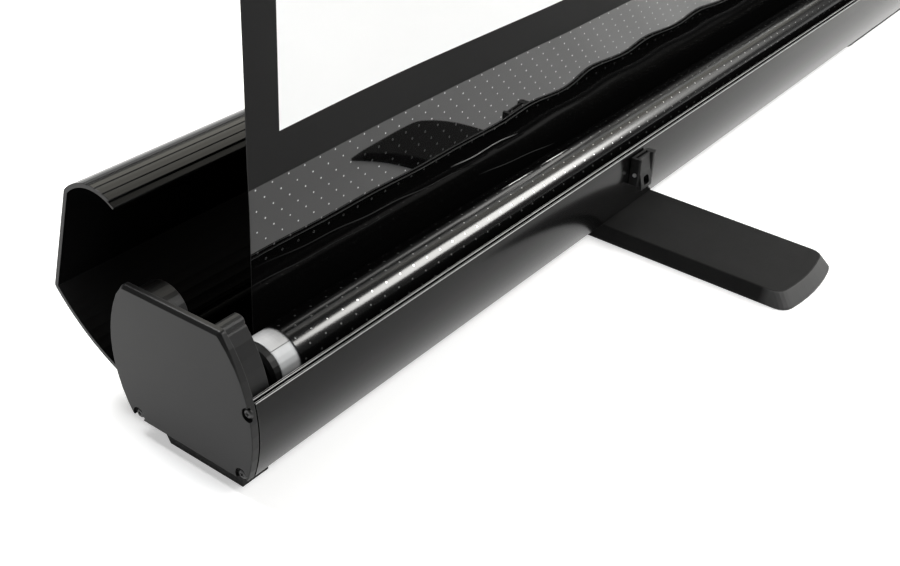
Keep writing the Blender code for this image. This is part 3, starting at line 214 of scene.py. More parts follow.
class Finish:
    """A material: one shader, the object's own coordinates, and short ways to add the nodes that drive it."""

    def __init__(self, name, **values):
        self.material = bpy.data.materials.new(name)
        self.material.use_nodes = True
        self.tree = self.material.node_tree
        self.shader = self.tree.nodes["Principled BSDF"]
        for socket, value in values.items():
            self.shader.inputs[socket.replace("_", " ")].default_value = value
        self.place = self.add("ShaderNodeTexCoord").outputs["Object"]
        self.relief = None

    def add(self, kind, inputs=None, **settings):
        """A new node with those settings and inputs."""
        node = self.tree.nodes.new(kind)
        for key, value in settings.items():
            setattr(node, key, value)
        for socket, value in (inputs or {}).items():
            self.feed(node.inputs[socket], value)
        return node

    def feed(self, socket, value):
        """Links another node's output to a socket, or sets a plain value."""
        if isinstance(value, bpy.types.NodeSocket):
            self.tree.links.new(value, socket)
        else:
            socket.default_value = value

    def noise(self, size, stretch=(1, 1, 1), detail=GRAIN_DETAIL, place=None):
        """Noise with grains of about that size in metres, longer along an axis whose stretch is above one."""
        scale = tuple(1 / (size * part) for part in stretch)
        mapping = self.add("ShaderNodeMapping", {"Vector": place or self.place, "Scale": scale})
        sockets = {"Vector": mapping.outputs[0], "Scale": 1.0, "Detail": detail}
        return self.add("ShaderNodeTexNoise", sockets).outputs["Fac"]

    def ramp(self, value, low, high, start=0.0, end=1.0):
        """The value from low to high, mapped evenly to the span from start to end."""
        sockets = {"Value": value, "From Min": low, "From Max": high, "To Min": start, "To Max": end}
        return self.add("ShaderNodeMapRange", sockets).outputs["Result"]

    def math(self, operation, first, second=0.0):
        """The result of a calculation with one or two numbers."""
        return self.add("ShaderNodeMath", {0: first, 1: second}, operation=operation).outputs[0]

    def times(self, first, second):
        """The product of two numbers."""
        return self.math("MULTIPLY", first, second)

    def vector(self, operation, *values):
        """The results of a calculation with one or two vectors."""
        return self.add("ShaderNodeVectorMath", dict(enumerate(values)), operation=operation).outputs

    def split(self, vector):
        """The X, Y and Z of a vector."""
        return self.add("ShaderNodeSeparateXYZ", {0: vector}).outputs

    def facing(self):
        """The X, Y and Z of the surface's own normal, without any relief."""
        return self.split(self.add("ShaderNodeNewGeometry").outputs["Normal"])

    def mix(self, share, first, second, kind="RGBA"):
        """A blend of two colours, or of two vectors."""
        node = self.add("ShaderNodeMix", {"Factor": share}, data_type=kind)
        ends = [socket for socket in node.inputs if socket.type == kind]
        self.feed(ends[-2], first)
        self.feed(ends[-1], second)
        return next(socket for socket in node.outputs if socket.type == kind)

    def edges(self, radius, bend):
        """Nothing on faces that bend less than the bend's start, and one along edges past its end."""
        soft = self.add("ShaderNodeBevel", {"Radius": radius}, samples=EDGE_SAMPLES)
        flat = self.add("ShaderNodeNewGeometry")
        alike = self.vector("DOT_PRODUCT", soft.outputs[0], flat.outputs["Normal"])["Value"]
        return self.ramp(alike, 1 - bend[0], 1 - bend[1])

    def colour(self, value):
        """Sets what gives the colour."""
        self.feed(self.shader.inputs["Base Color"], value)

    def rough(self, value):
        """Sets what gives the roughness."""
        self.feed(self.shader.inputs["Roughness"], value)

    def soften(self, radius):
        """Rounds the shading over the shallow edges of a curved face that is made of flats."""
        self.relief = self.add("ShaderNodeBevel", {"Radius": radius}, samples=SOFT_SAMPLES).outputs["Normal"]

    def bump(self, height, distance):
        """Adds relief, on top of any relief that is there already."""
        sockets = {"Height": height, "Distance": distance, "Strength": 1.0}
        if self.relief:
            sockets["Normal"] = self.relief
        self.relief = self.add("ShaderNodeBump", sockets).outputs["Normal"]
        self.feed(self.shader.inputs["Normal"], self.relief)


# The front wall of the trough: its span of height, how far it faces down and up at that span's ends, and how
# its faces are told from others.
WALL_SPAN = (15 * MM, 76 * MM)
WALL_LEAN = (math.radians(-27), math.radians(18))
WALL_FRONT = -50 * MM
WALL_FACING = -0.9

# The painted highlights on the rounded edges of the wall's rim: their height, how far those edges face up on
# their steep and level sides, and how strong the highlight is.
RIM_SPAN = (75.2 * MM, 75.6 * MM)
RIM_STEEP = (0.38, 0.42)
RIM_LEVEL = (0.98, 0.96)
RIM_HIGHLIGHT_SHARE = 0.9


def bowed_wall(finish):
    """Shades the front wall as one smooth bow instead of a row of flats."""
    place = finish.split(finish.place)
    lean = finish.ramp(place["Z"], *WALL_SPAN, *WALL_LEAN)
    out = finish.times(finish.math("COSINE", lean), -1.0)
    bow = finish.add("ShaderNodeCombineXYZ", {"Y": out, "Z": finish.math("SINE", lean)}).outputs[0]
    ahead = finish.math("LESS_THAN", place["Y"], WALL_FRONT)
    outward = finish.math("LESS_THAN", finish.facing()["Y"], WALL_FACING)
    finish.relief = finish.mix(finish.times(ahead, outward), finish.relief, bow, "VECTOR")


def rim_highlight(finish):
    """The share of painted highlight on the rounded edges of the front wall's rim."""
    height = finish.split(finish.place)["Z"]
    facing = finish.facing()["Z"]
    slope = finish.times(finish.ramp(facing, *RIM_STEEP), finish.ramp(facing, *RIM_LEVEL))
    return finish.times(slope, finish.ramp(height, *RIM_SPAN, 0.0, RIM_HIGHLIGHT_SHARE))


# Extruded metal: die lines and blotches, and rounded edges that are worn to bare metal. On the trough's wall
# the bare tone is lighter and also gives a painted highlight on the rim's rounded edges.
LENGTHWISE = (900, 1, 1)
UPRIGHT = (1, 1, 900)
DIE_LINE = 0.6 * MM
DIE_RELIEF = 0.00005 * MM
DIE_SPREAD = (-0.006, 0.008)
BLOTCH = 45 * MM
EXTRUDED_GLOSS = 0.2
ROUNDING = 0.5 * MM
WEAR_REACH = 0.5 * MM
WEAR_BEND = (0.03, 0.4)
WEAR_SPAN = (0.35, 0.8)
WEAR_SHARE = (0.1, 0.55)
BARE_LEVEL = 150
BARE_AND_RIM_HIGHLIGHT_LEVEL = 190


def anodised(name, low, high, roughness, along, metallic=0.0, wall=False):
    """Extruded metal with die lines along its length, faint blotches and bare metal at its worn edges. On the
    trough's wall a painted highlight in a lighter tone also runs along the rim's rounded edges.
    """
    finish = Finish(name, Metallic=metallic, Specular_IOR_Level=EXTRUDED_GLOSS)
    finish.soften(ROUNDING)
    if wall:
        bowed_wall(finish)
    lines = finish.noise(DIE_LINE, along, LINE_DETAIL)
    blotch = finish.noise(BLOTCH, detail=CLOUD_DETAIL)
    tone = finish.mix(finish.ramp(blotch, *MIDDLE), grey(low), grey(high))
    patchy = finish.ramp(blotch, *WEAR_SPAN, *WEAR_SHARE)
    wear_and_highlight = finish.times(finish.edges(WEAR_REACH, WEAR_BEND), patchy)
    # On the wall, a painted highlight on the rim's rounded edges joins the wear, and both take a lighter
    # tone.
    if wall:
        wear_and_highlight = finish.math("MAXIMUM", wear_and_highlight, rim_highlight(finish))
    bare_and_highlight = grey(BARE_AND_RIM_HIGHLIGHT_LEVEL if wall else BARE_LEVEL)
    finish.colour(finish.mix(wear_and_highlight, tone, bare_and_highlight))
    finish.rough(finish.ramp(lines, *MIDDLE, *spread(roughness, DIE_SPREAD)))
    finish.bump(lines, DIE_RELIEF)
    return finish.material


# Moulded plastic: clouds, scuffs, edges lighter by polish and by a painted highlight, and a painted highlight
# on the sloped tips of the feet.
MOULD_CLOUD = 30 * MM
MOULD_SPREAD = (-0.06, 0.08)
SCUFF = 2.2 * MM
SCUFF_STRETCH = (1, 5, 1)
SCUFF_SPAN = (0.62, 0.78)
SCUFF_SHARE = 0.28
SCUFF_LIFT = 14
POLISH_AND_HIGHLIGHT_REACH = 0.7 * MM
POLISH_AND_HIGHLIGHT_BEND = (0.02, 0.25)
POLISH_AND_HIGHLIGHT_SPAN = (0.2, 0.7)
POLISH_AND_HIGHLIGHT_SHARE = (0.35, 0.9)
TIP_REACH = 222 * MM
TIP_FADE = 8 * MM
TIP_SLOPE = (0.97, 0.85)


def moulded(name, low, high, roughness, gloss, grain, relief, polish_and_highlight_level, tip_highlight_level=None):
    """Moulded plastic: a fine spark-eroded grain, slow changes of tone, edges lighter by polish and by a
    painted highlight, and a painted highlight on the feet's tips.
    """
    finish = Finish(name, Specular_IOR_Level=gloss)
    finish.soften(ROUNDING)
    fine = finish.noise(grain)
    slow = finish.noise(MOULD_CLOUD)
    scuff = finish.noise(SCUFF, SCUFF_STRETCH, CLOUD_DETAIL)
    tone = finish.mix(finish.ramp(slow, *MIDDLE), grey(low), grey(high))
    marks = finish.ramp(scuff, *SCUFF_SPAN, 0.0, SCUFF_SHARE)
    tone = finish.mix(marks, tone, grey(high + SCUFF_LIFT))
    # Lighter edges: partly polish, partly a painted highlight along the rounded edges.
    patchy = finish.ramp(slow, *POLISH_AND_HIGHLIGHT_SPAN, *POLISH_AND_HIGHLIGHT_SHARE)
    edge = finish.times(finish.edges(POLISH_AND_HIGHLIGHT_REACH, POLISH_AND_HIGHLIGHT_BEND), patchy)
    tone = finish.mix(edge, tone, grey(polish_and_highlight_level))
    # A painted highlight on the sloped faces at the far tips of the feet.
    if tip_highlight_level:
        out = finish.math("ABSOLUTE", finish.split(finish.place)["Y"])
        far = finish.ramp(out, TIP_REACH - TIP_FADE, TIP_REACH)
        slope = finish.ramp(finish.facing()["Z"], *TIP_SLOPE)
        tone = finish.mix(finish.times(far, slope), tone, grey(tip_highlight_level))
    finish.colour(tone)
    finish.rough(finish.ramp(fine, *WIDE, *spread(roughness, MOULD_SPREAD)))
    finish.bump(fine, relief)
    return finish.material


# Drawn and turned steel: fine lines and stains.
ALONG_X = (60, 1, 1)
ROUND_Z = (60, 60, 1)
STEEL_LINE = 0.25 * MM
STEEL_RELIEF = 0.01 * MM
STEEL_SPREAD = (-0.06, 0.1)
STAIN = 9 * MM
STAIN_SPAN = (0.35, 0.75)
STAIN_DEPTH = 24


def steel(name, level, roughness, along=(1, 1, 1)):
    """Drawn or turned steel with fine lines and a few darker stains."""
    finish = Finish(name, Metallic=1.0)
    lines = finish.noise(STEEL_LINE, along, LINE_DETAIL)
    stain = finish.noise(STAIN, detail=CLOUD_DETAIL)
    finish.colour(finish.mix(finish.ramp(stain, *STAIN_SPAN), grey(level), grey(level - STAIN_DEPTH)))
    finish.rough(finish.ramp(lines, *WIDE, *spread(roughness, STEEL_SPREAD)))
    finish.bump(lines, STEEL_RELIEF)
    return finish.material


# The roller's tube: hoop lines, clouds, and a seam at an angle round the axis that starts at the back. One
# side of the seam has painted shade and the other painted light.
TUBE_METALLIC = 0.8
TUBE_ROUNDING = 2.2 * MM
TUBE_ROUGHNESS = (0.58, 0.72)
TUBE_PAINTED_SHADE = grey(170)
TUBE_PAINTED_LIGHT = grey(176, -0.015)
HOOP = 0.6 * MM
HOOP_STRETCH = (1, 60, 60)
HOOP_RELIEF = 0.01 * MM
TUBE_CLOUD = 11 * MM
TUBE_CLOUD_SHARE = 0.35
TUBE_CLOUD_TONE = grey(150, -0.01)
SEAM_ANGLE = 2.09
SEAM_WIDTH = (0.008, 0.022)
SEAM_BLEND = (-0.03, 0.03)
SEAM_DEPTH = 0.15 * MM
SEAM_TONE = grey(112)


def roller_metal():
    """The roller's tube: rolled metal with hoop lines and a seam, with painted shade on one side of the seam
    and painted light on the other.
    """
    finish = Finish("roller_metal", Metallic=TUBE_METALLIC)
    finish.soften(TUBE_ROUNDING)
    hoops = finish.noise(HOOP, HOOP_STRETCH, LINE_DETAIL)
    cloud = finish.noise(TUBE_CLOUD, detail=CLOUD_DETAIL)
    place = finish.split(finish.place)
    across = finish.math("SUBTRACT", place["Y"], ROLLER_PLACE[0])
    rise = finish.math("SUBTRACT", place["Z"], ROLLER_PLACE[1])
    past = finish.math("SUBTRACT", finish.math("ARCTAN2", rise, across), SEAM_ANGLE)
    seam = finish.ramp(finish.math("ABSOLUTE", past), *SEAM_WIDTH, 1.0, 0.0)
    # Painted shade on one side of the seam, painted light on the other.
    tone = finish.mix(finish.ramp(past, *SEAM_BLEND), TUBE_PAINTED_SHADE, TUBE_PAINTED_LIGHT)
    tone = finish.mix(finish.ramp(cloud, *MIDDLE, 0.0, TUBE_CLOUD_SHARE), tone, TUBE_CLOUD_TONE)
    finish.colour(finish.mix(seam, tone, SEAM_TONE))
    finish.rough(finish.ramp(hoops, *MIDDLE, *TUBE_ROUGHNESS))
    finish.bump(hoops, HOOP_RELIEF)
    finish.bump(seam, -SEAM_DEPTH)
    return finish.material


# Rubber: its grain, and dust.
RUBBER_GLOSS = 0.3
RUBBER_GRAIN = 0.5 * MM
RUBBER_RELIEF = 0.08 * MM
RUBBER_ROUGHNESS = (0.7, 0.9)
RUBBER_TONE = grey(26)
DUST = 6 * MM
DUST_SPAN = (0.45, 0.8)
DUST_SHARE = 0.6
DUST_TONE = grey(58)


def rubber():
    """Soft black rubber with a fine grain and patches of dust."""
    finish = Finish("rubber_pad", Specular_IOR_Level=RUBBER_GLOSS)
    grain = finish.noise(RUBBER_GRAIN)
    dust = finish.noise(DUST, detail=CLOUD_DETAIL)
    finish.colour(finish.mix(finish.ramp(dust, *DUST_SPAN, 0.0, DUST_SHARE), RUBBER_TONE, DUST_TONE))
    finish.rough(finish.ramp(grain, *MIDDLE, *RUBBER_ROUGHNESS))
    finish.bump(grain, RUBBER_RELIEF)
    return finish.material


# Cloth: the pitch of its weave, and how fast the wave texture runs at a scale of one, in radians a metre.
WEAVE = 0.8 * MM
WAVE_RATE = 20

# The white image, the black masking and the core that shows at the cut edge.
IMAGE_GLOSS = 0.25
IMAGE_SHEEN = 0.05
IMAGE_RELIEF = 0.02 * MM
IMAGE_CLOUD = 220 * MM
IMAGE_TONES = (grey(247, -0.006), grey(243, -0.006))
IMAGE_ROUGHNESS = (0.75, 0.88)
MASK_GLOSS = 0.15
MASK_RELIEF = 0.03 * MM
MASK_SPREAD = (-0.05, 0.1)
MASK_GRAIN = 0.9 * MM
MASK_GRAIN_RELIEF = 0.02 * MM
CORE_GRAIN = 1.5 * MM
CORE_STRETCH = (1, 1, 4)
CORE_TONES = (grey(26), grey(44))
CORE_ROUGHNESS = (0.7, 0.85)


def flat_place(finish):
    """Coordinates on the cut cloth, in metres."""
    return finish.add("ShaderNodeUVMap", uv_map="flat").outputs["UV"]


def weave(finish, place, relief):
    """Relief of a plain weave."""
    sockets = {"Vector": place, "Scale": math.tau / (WAVE_RATE * WEAVE)}
    threads = [
        finish.add("ShaderNodeTexWave", sockets, bands_direction=direction).outputs["Fac"]
        for direction in ("X", "Y")
    ]
    cross = finish.times(*threads)
    finish.bump(cross, relief)
    return cross


def image_cloth():
    """The white image field: matt, with a fine weave and a faint pearl."""
    finish = Finish("image_white", Specular_IOR_Level=IMAGE_GLOSS, Sheen_Weight=IMAGE_SHEEN)
    place = flat_place(finish)
    cross = weave(finish, place, IMAGE_RELIEF)
    cloud = finish.noise(IMAGE_CLOUD, place=place)
    finish.colour(finish.mix(finish.ramp(cloud, *MIDDLE), *IMAGE_TONES))
    finish.rough(finish.ramp(cross, *FULL, *IMAGE_ROUGHNESS))
    return finish.material


def mask_cloth(name, low, high, roughness):
    """Black masking: matt, with a fine weave and grain."""
    finish = Finish(name, Specular_IOR_Level=MASK_GLOSS)
    place = flat_place(finish)
    cross = weave(finish, place, MASK_RELIEF)
    grain = finish.noise(MASK_GRAIN, place=place)
    finish.colour(finish.mix(finish.ramp(grain, *WIDE), grey(low), grey(high)))
    finish.rough(finish.ramp(cross, *FULL, *spread(roughness, MASK_SPREAD)))
    finish.bump(grain, MASK_GRAIN_RELIEF)
    return finish.material


def edge_cloth():
    """The cut edge of the cloth, where its dark core shows."""
    finish = Finish("cloth_edge")
    core = finish.noise(CORE_GRAIN, CORE_STRETCH, LINE_DETAIL)
    finish.colour(finish.mix(finish.ramp(core, *MIDDLE), *CORE_TONES))
    finish.rough(finish.ramp(core, *MIDDLE, *CORE_ROUGHNESS))
    return finish.material


# Creases in the low leader and on the roller, with a painted highlight on their ridges. Each has its middle,
# its height on the cloth, its reach to each side, its slope, the height of its waves and its share of a full
# crease.
LOW_CREASES = (
    (-557 * MM, 109.6 * MM, 48 * MM, -0.03, 0.9 * MM, 1.0),
    (-690 * MM, 111.0 * MM, 140 * MM, -0.075, 0.6 * MM, 0.07),
    (-760 * MM, 105.2 * MM, 90 * MM, -0.04, 0.5 * MM, 0.06),
    (-505 * MM, 82.4 * MM, 60 * MM, -0.11, 0.4 * MM, 0.12),
)
WOUND_CREASES = (
    (-546 * MM, -34.2 * MM, 24 * MM, -0.0133, 0.2 * MM, 0.9),
    (-490 * MM, -35.0 * MM, 22 * MM, -0.0133, 0.2 * MM, 1.0),
)
CREASE_WIDTH = 0.8 * MM
CREASE_HEIGHT = 0.7 * MM
CREASE_SWING = 70 * MM
CREASE_HIGHLIGHT_TONE = grey(150)


def creases(finish, place, spots):
    """Relief of a few fine creases, and the share of painted highlight on their ridges."""
    parts = finish.split(place)
    shine = 0.0
    for middle, height, reach, slope, sway, share in spots:
        along = finish.math("SUBTRACT", parts["X"], middle)
        swing = finish.math("SINE", finish.times(along, math.tau / CREASE_SWING))
        line = finish.math("ADD", finish.times(along, slope), finish.times(swing, sway))
        away = finish.math("SUBTRACT", finish.math("SUBTRACT", parts["Y"], height), line)
        ridge = finish.ramp(finish.math("ABSOLUTE", away), 0.0, CREASE_WIDTH, share, 0.0)
        fade = finish.ramp(finish.math("ABSOLUTE", along), reach / 2, reach, 1.0, 0.0)
        ridge = finish.times(ridge, fade)
        finish.bump(ridge, CREASE_HEIGHT)
        shine = finish.math("MAXIMUM", shine, ridge)
    return shine


# The dots on the film: a square lattice, turned by half a right angle, through a first dot. Each of its cells
# has a dot in its middle, whose edge is soft from one share of its radius to another.
DOT_TURN = -math.pi / 4
DOT_STEP_X = 7.9 * MM
DOT_STEP_Z = 7.85 * MM
DOT_FIRST_X = -797.7 * MM
DOT_FIRST_Z = 171.1 * MM
DOT_RADIUS = 0.72 * MM
DOT_EDGE = (0.7, 1.3)
DOT_LEVEL = 158
WOUND_DOT_RADIUS = 0.55 * MM
WOUND_DOT_LEVEL = 196
CELL_X = math.sqrt(2) * DOT_STEP_X
CELL_Z = math.sqrt(2) * DOT_STEP_Z
CELL_MIDDLE = Vector((0.5, 0.5, 0.0))

# The film's black, its haze and its fine relief.
FILM_TONE = grey(6)
FILM_GRAIN = 1.1 * MM
FILM_RELIEF = 0.0006 * MM
HAZE = 35 * MM
HAZE_STRETCH = (3, 1, 1)
HAZE_SPAN = (0.3, 0.75)
HAZE_SPREAD = (0.0, 0.025)


def dot_lattice(finish, place, radius, strength):
    """That strength on the dots and nothing between them."""
    scale = (1 / CELL_X, 1 / CELL_Z, 1.0)
    first = Vector((DOT_FIRST_X * scale[0], DOT_FIRST_Z * scale[1], 0.0))
    shift = CELL_MIDDLE - Matrix.Rotation(DOT_TURN, 3, "Z") @ first
    sockets = {"Vector": place, "Location": shift, "Rotation": (0, 0, DOT_TURN), "Scale": scale}
    cell = finish.add("ShaderNodeMapping", sockets).outputs[0]
    inside = finish.vector("FRACTION", cell)[0]
    offset = finish.vector("SUBTRACT", inside, CELL_MIDDLE)[0]
    away = finish.vector("LENGTH", offset)["Value"]
    edge = [radius / CELL_X * part for part in DOT_EDGE]
    return finish.ramp(away, *edge, strength, 0.0)


def dotted_film(name, roughness, gloss, strength=1.0, radius=DOT_RADIUS, level=DOT_LEVEL, spots=()):
    """Glossy black film with small mirror dots, and creases at those spots that carry a painted highlight."""
    finish = Finish(name, Specular_IOR_Level=gloss)
    place = flat_place(finish)
    dots = dot_lattice(finish, place, radius, strength)
    tone = finish.mix(dots, FILM_TONE, grey(level))
    if spots:
        # A painted highlight along the creases' ridges.
        tone = finish.mix(creases(finish, place, spots), tone, CREASE_HIGHLIGHT_TONE)
    finish.colour(tone)
    finish.feed(finish.shader.inputs["Metallic"], dots)
    haze = finish.noise(HAZE, HAZE_STRETCH, CLOUD_DETAIL, place)
    finish.rough(finish.ramp(haze, *HAZE_SPAN, *spread(roughness, HAZE_SPREAD)))
    fine = finish.noise(FILM_GRAIN, detail=LINE_DETAIL, place=place)
    finish.bump(fine, FILM_RELIEF)
    return finish.material


case_black = anodised("case_black", low=9, high=13, roughness=0.2, along=LENGTHWISE)
trough_black = anodised("trough_black", low=9, high=13, roughness=0.2, along=LENGTHWISE, wall=True)
mast_metal = anodised("mast_metal", low=152, high=170, roughness=0.34, along=UPRIGHT, metallic=1.0)
cap_plastic = moulded(
    "cap_plastic", low=16, high=20, roughness=0.36, gloss=0.21,
    grain=0.45 * MM, relief=0.01 * MM, polish_and_highlight_level=74,
)
foot_plastic = moulded(
    "foot_plastic", low=21, high=26, roughness=0.6, gloss=0.14,
    grain=0.6 * MM, relief=0.06 * MM, polish_and_highlight_level=40, tip_highlight_level=77,
)
hub_plastic = moulded(
    "hub_plastic", low=10, high=14, roughness=0.42, gloss=0.2,
    grain=0.4 * MM, relief=0.015 * MM, polish_and_highlight_level=36,
)
rubber_pad = rubber()
tube_metal = roller_metal()
pin_steel = steel("pin_steel", level=205, roughness=0.28, along=ALONG_X)
dark_steel = steel("dark_steel", level=96, roughness=0.38, along=ROUND_Z)

# The finish of each node, and of each pair of nodes with a left and a right one.
NODE_FINISH = {
    "base_extrusion": trough_black,
    "lid": case_black,
    "top_batten": case_black,
    "roller_tube": tube_metal,
    "spring_cartridge": dark_steel,
    "batten_hanger": dark_steel,
    "mast_bracket": dark_steel,
    "mast_pin": pin_steel,
    "mast_foot": hub_plastic,
    "mast_outer": mast_metal,
    "mast_inner": mast_metal,
    "mast_head": hub_plastic,
    "mast_collar": hub_plastic,
    "mast_knob": hub_plastic,
}
SIDE_FINISH = {
    "end_cap": cap_plastic,
    "end_pad": rubber_pad,
    "foot": foot_plastic,
    "foot_pivot": dark_steel,
    "latch_housing": hub_plastic,
    "latch_lever": hub_plastic,
    "latch_pin": pin_steel,
    "roller_hub": hub_plastic,
    "roller_axle": pin_steel,
    "batten_end": cap_plastic,
}


def dress_nodes():
    """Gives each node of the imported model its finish."""
    finishes = dict(NODE_FINISH)
    for stem, material in SIDE_FINISH.items():
        for side in ("left", "right"):
            finishes[f"{stem}_{side}"] = material
    for name, material in finishes.items():
        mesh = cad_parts[name].data
        mesh.materials.clear()
        mesh.materials.append(material)


def add_object(name, data):
    """A new object in the scene."""
    item = bpy.data.objects.new(name, data)
    bpy.context.scene.collection.objects.link(item)
    return item


def new_piece(name, bm, materials):
    """A new object from a mesh in progress, in the object's frame."""
    mesh = bpy.data.meshes.new(name)
    bm.to_mesh(mesh)
    bm.free()
    for material in materials:
        mesh.materials.append(material)
    return add_object(name, mesh)


class SheetMesh:
    """A mesh in progress whose corners keep their spots on the cut sheet."""

    def __init__(self):
        self.bm = bmesh.new()
        self.layer = self.bm.loops.layers.uv.new("flat")
        self.spots = {}

    def corner(self, place, spot):
        """A new corner at that place."""
        vert = self.bm.verts.new(place)
        self.spots[vert] = spot
        return vert

    def face(self, *corners, slot=0, smooth=True):
        """A new face between corners, with a sharp outline where it isn't smooth."""
        made = self.bm.faces.new(corners)
        made.material_index = slot
        made.smooth = smooth
        for loop in made.loops:
            loop[self.layer].uv = self.spots[loop.vert]
            loop.edge.smooth = loop.edge.smooth and smooth


def steps_between(marks, step_of):
    """Values from the first mark to the last that pass through every mark, a step or less apart."""
    values = [marks[0]]
    for low, high in zip(marks, marks[1:]):
        count = max(1, math.ceil((high - low) / step_of(low)))
        values += [low + (high - low) * i / count for i in range(1, count + 1)]
    return values


def ease(value):
    """A smooth step from nothing at zero to one at one."""
    share = min(max(value, 0.0), 1.0)
    return share * share * (3 - 2 * share)


def swell(share):
    """A hump that is nothing at zero, one at one and dies away beyond."""
    return share * math.exp(1 - share)


def slanted_wave(x, rise, length, slant, phase):
    """A slanting wave along the cloth."""
    return math.sin(math.tau * x / length + slant * rise + phase)


def cloth_offset(x, z):
    """How far the cloth stands off its plane: ripples, finer ripples, a bulge and a slight lean."""
    rise = z - CLOTH_BASE
    slow = swell(rise / RIPPLE_RISE)
    offset = RIPPLE * slow ** 2 * slanted_wave(x, rise, RIPPLE_LENGTH, RIPPLE_SLANT, RIPPLE_PHASE)
    fine = swell(rise / FINE_RISE)
    share = FINE_LEAST + (1 - FINE_LEAST) * ease((x - FINE_START) / FINE_SPAN)
    for size, length, slant, phase in FINE_RIPPLES:
        offset += share * size * fine ** 2 * slanted_wave(x, rise, length, slant, phase)
    across, up = ((v - c) / w for v, c, w in zip((x, z), BULGE_PLACE, BULGE_SIZE))
    fade = math.exp(-(max(0.0, z - BULGE_FADE[0]) / BULGE_FADE[1]) ** 2)
    offset += BULGE * math.exp(-across * across) * (1 + math.tanh(up)) / 2 * fade
    lift = z - LEAN_HEIGHT
    return offset + LEAN * lift * ease(rise / LEAN_START) * math.exp(-(lift / LEAN_FADE) ** 2)


def cloth_field(x, z):
    """Which field of the print a spot belongs to."""
    if z < LEADER_TOP:
        return LEADER if z > LEADER_LOW else LOW_LEADER
    if abs(x) > IMAGE_HALF or not IMAGE_BASE < z < IMAGE_TOP:
        return BORDER
    return IMAGE


def make_cloth():
    """The drawn-up cloth: image, border and leader in front, a black backing, and dark cut edges."""
    marks = [-CLOTH_HALF, -IMAGE_HALF, IMAGE_HALF, CLOTH_HALF]
    columns = steps_between(marks, lambda x: COLUMN_STEP)
    marks = [CLOTH_BASE, LEADER_LOW, LEADER_TOP, IMAGE_BASE, IMAGE_TOP, CLOTH_TOP]
    rows = steps_between(marks, lambda z: ROW_STEP if z < IMAGE_BASE else TALL_ROW_STEP)
    sheet = SheetMesh()

    def corner(x, z, shift):
        return sheet.corner((x, CLOTH_Y + cloth_offset(x, z) + shift, z), (x, z))

    def cut(*corners):
        sheet.face(*corners, slot=CUT_EDGE, smooth=False)

    front, back = (
        [[corner(x, z, shift) for x in columns] for z in rows]
        for shift in (-CLOTH_THICK / 2, CLOTH_THICK / 2)
    )
    for j in range(len(rows) - 1):
        for i in range(len(columns) - 1):
            field = cloth_field((columns[i] + columns[i + 1]) / 2, (rows[j] + rows[j + 1]) / 2)
            sheet.face(front[j][i], front[j][i + 1], front[j + 1][i + 1], front[j + 1][i], slot=field)
            sheet.face(back[j][i], back[j + 1][i], back[j + 1][i + 1], back[j][i + 1], slot=BACKING)
        cut(front[j][0], front[j + 1][0], back[j + 1][0], back[j][0])
        cut(front[j][-1], back[j][-1], back[j + 1][-1], front[j + 1][-1])
    for i in range(len(columns) - 1):
        cut(front[0][i], back[0][i], back[0][i + 1], front[0][i + 1])
        cut(front[-1][i], front[-1][i + 1], back[-1][i + 1], back[-1][i])
    fields = {
        IMAGE: image_cloth(),
        BORDER: mask_cloth("border_black", low=17, high=23, roughness=0.72),
        LEADER: dotted_film("leader_film", roughness=0.02, gloss=0.5),
        BACKING: mask_cloth("backing_black", low=18, high=24, roughness=0.6),
        CUT_EDGE: edge_cloth(),
        LOW_LEADER: dotted_film(
            "leader_low_film", roughness=0.03, gloss=0.02, strength=0.0, spots=LOW_CREASES,
        ),
    }
    cloth = new_piece("screen_sheet", sheet.bm, [fields[slot] for slot in sorted(fields)])
    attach(cloth, "case")
    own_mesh(cloth)
    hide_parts("screen_cloth")


def make_winding():
    """The film that stays on the roller: a sheet wound outwards to where the cloth leaves the roller."""
    count = round(WINDING_TURNS * WINDING_POINTS)
    columns = [-CLOTH_HALF + 2 * CLOTH_HALF * i / WINDING_COLUMNS for i in range(WINDING_COLUMNS + 1)]
    sheet = SheetMesh()

    def ring(x, lift):
        made = []
        for i in range(count + 1):
            turns = i / WINDING_POINTS
            radius = WINDING_BORE + WINDING_PITCH * turns + lift
            angle = -math.tau * (WINDING_TURNS - turns)
            y = ROLLER_PLACE[0] + radius * math.cos(angle)
            z = ROLLER_PLACE[1] + radius * math.sin(angle)
            along = CLOTH_BASE + radius * angle + WINDING_SKEW * x
            spot = (x + WINDING_SHIFT[0], along + WINDING_SHIFT[1])
            made.append(sheet.corner((x, y, z), spot))
        return made

    inner = [ring(x, 0.0) for x in columns]
    outer = [ring(x, WINDING_SHEET) for x in columns]
    for a in range(WINDING_COLUMNS):
        for i in range(count):
            sheet.face(outer[a][i], outer[a + 1][i], outer[a + 1][i + 1], outer[a][i + 1])
            sheet.face(inner[a][i], inner[a][i + 1], inner[a + 1][i + 1], inner[a + 1][i])
        sheet.face(outer[a][0], inner[a][0], inner[a + 1][0], outer[a + 1][0], smooth=False)
        sheet.face(outer[a][-1], outer[a + 1][-1], inner[a + 1][-1], inner[a][-1], smooth=False)
    for i in range(count):
        sheet.face(outer[0][i], outer[0][i + 1], inner[0][i + 1], inner[0][i], smooth=False)
        sheet.face(outer[-1][i], inner[-1][i], inner[-1][i + 1], outer[-1][i + 1], smooth=False)
    bmesh.ops.recalc_face_normals(sheet.bm, faces=sheet.bm.faces)
    film = dotted_film(
        "wound_film", roughness=0.16, gloss=0.5,
        radius=WOUND_DOT_RADIUS, level=WOUND_DOT_LEVEL, spots=WOUND_CREASES,
    )
    winding = new_piece("wound_film", sheet.bm, [film])
    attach(winding, "roller")
    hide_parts("wound_cloth")


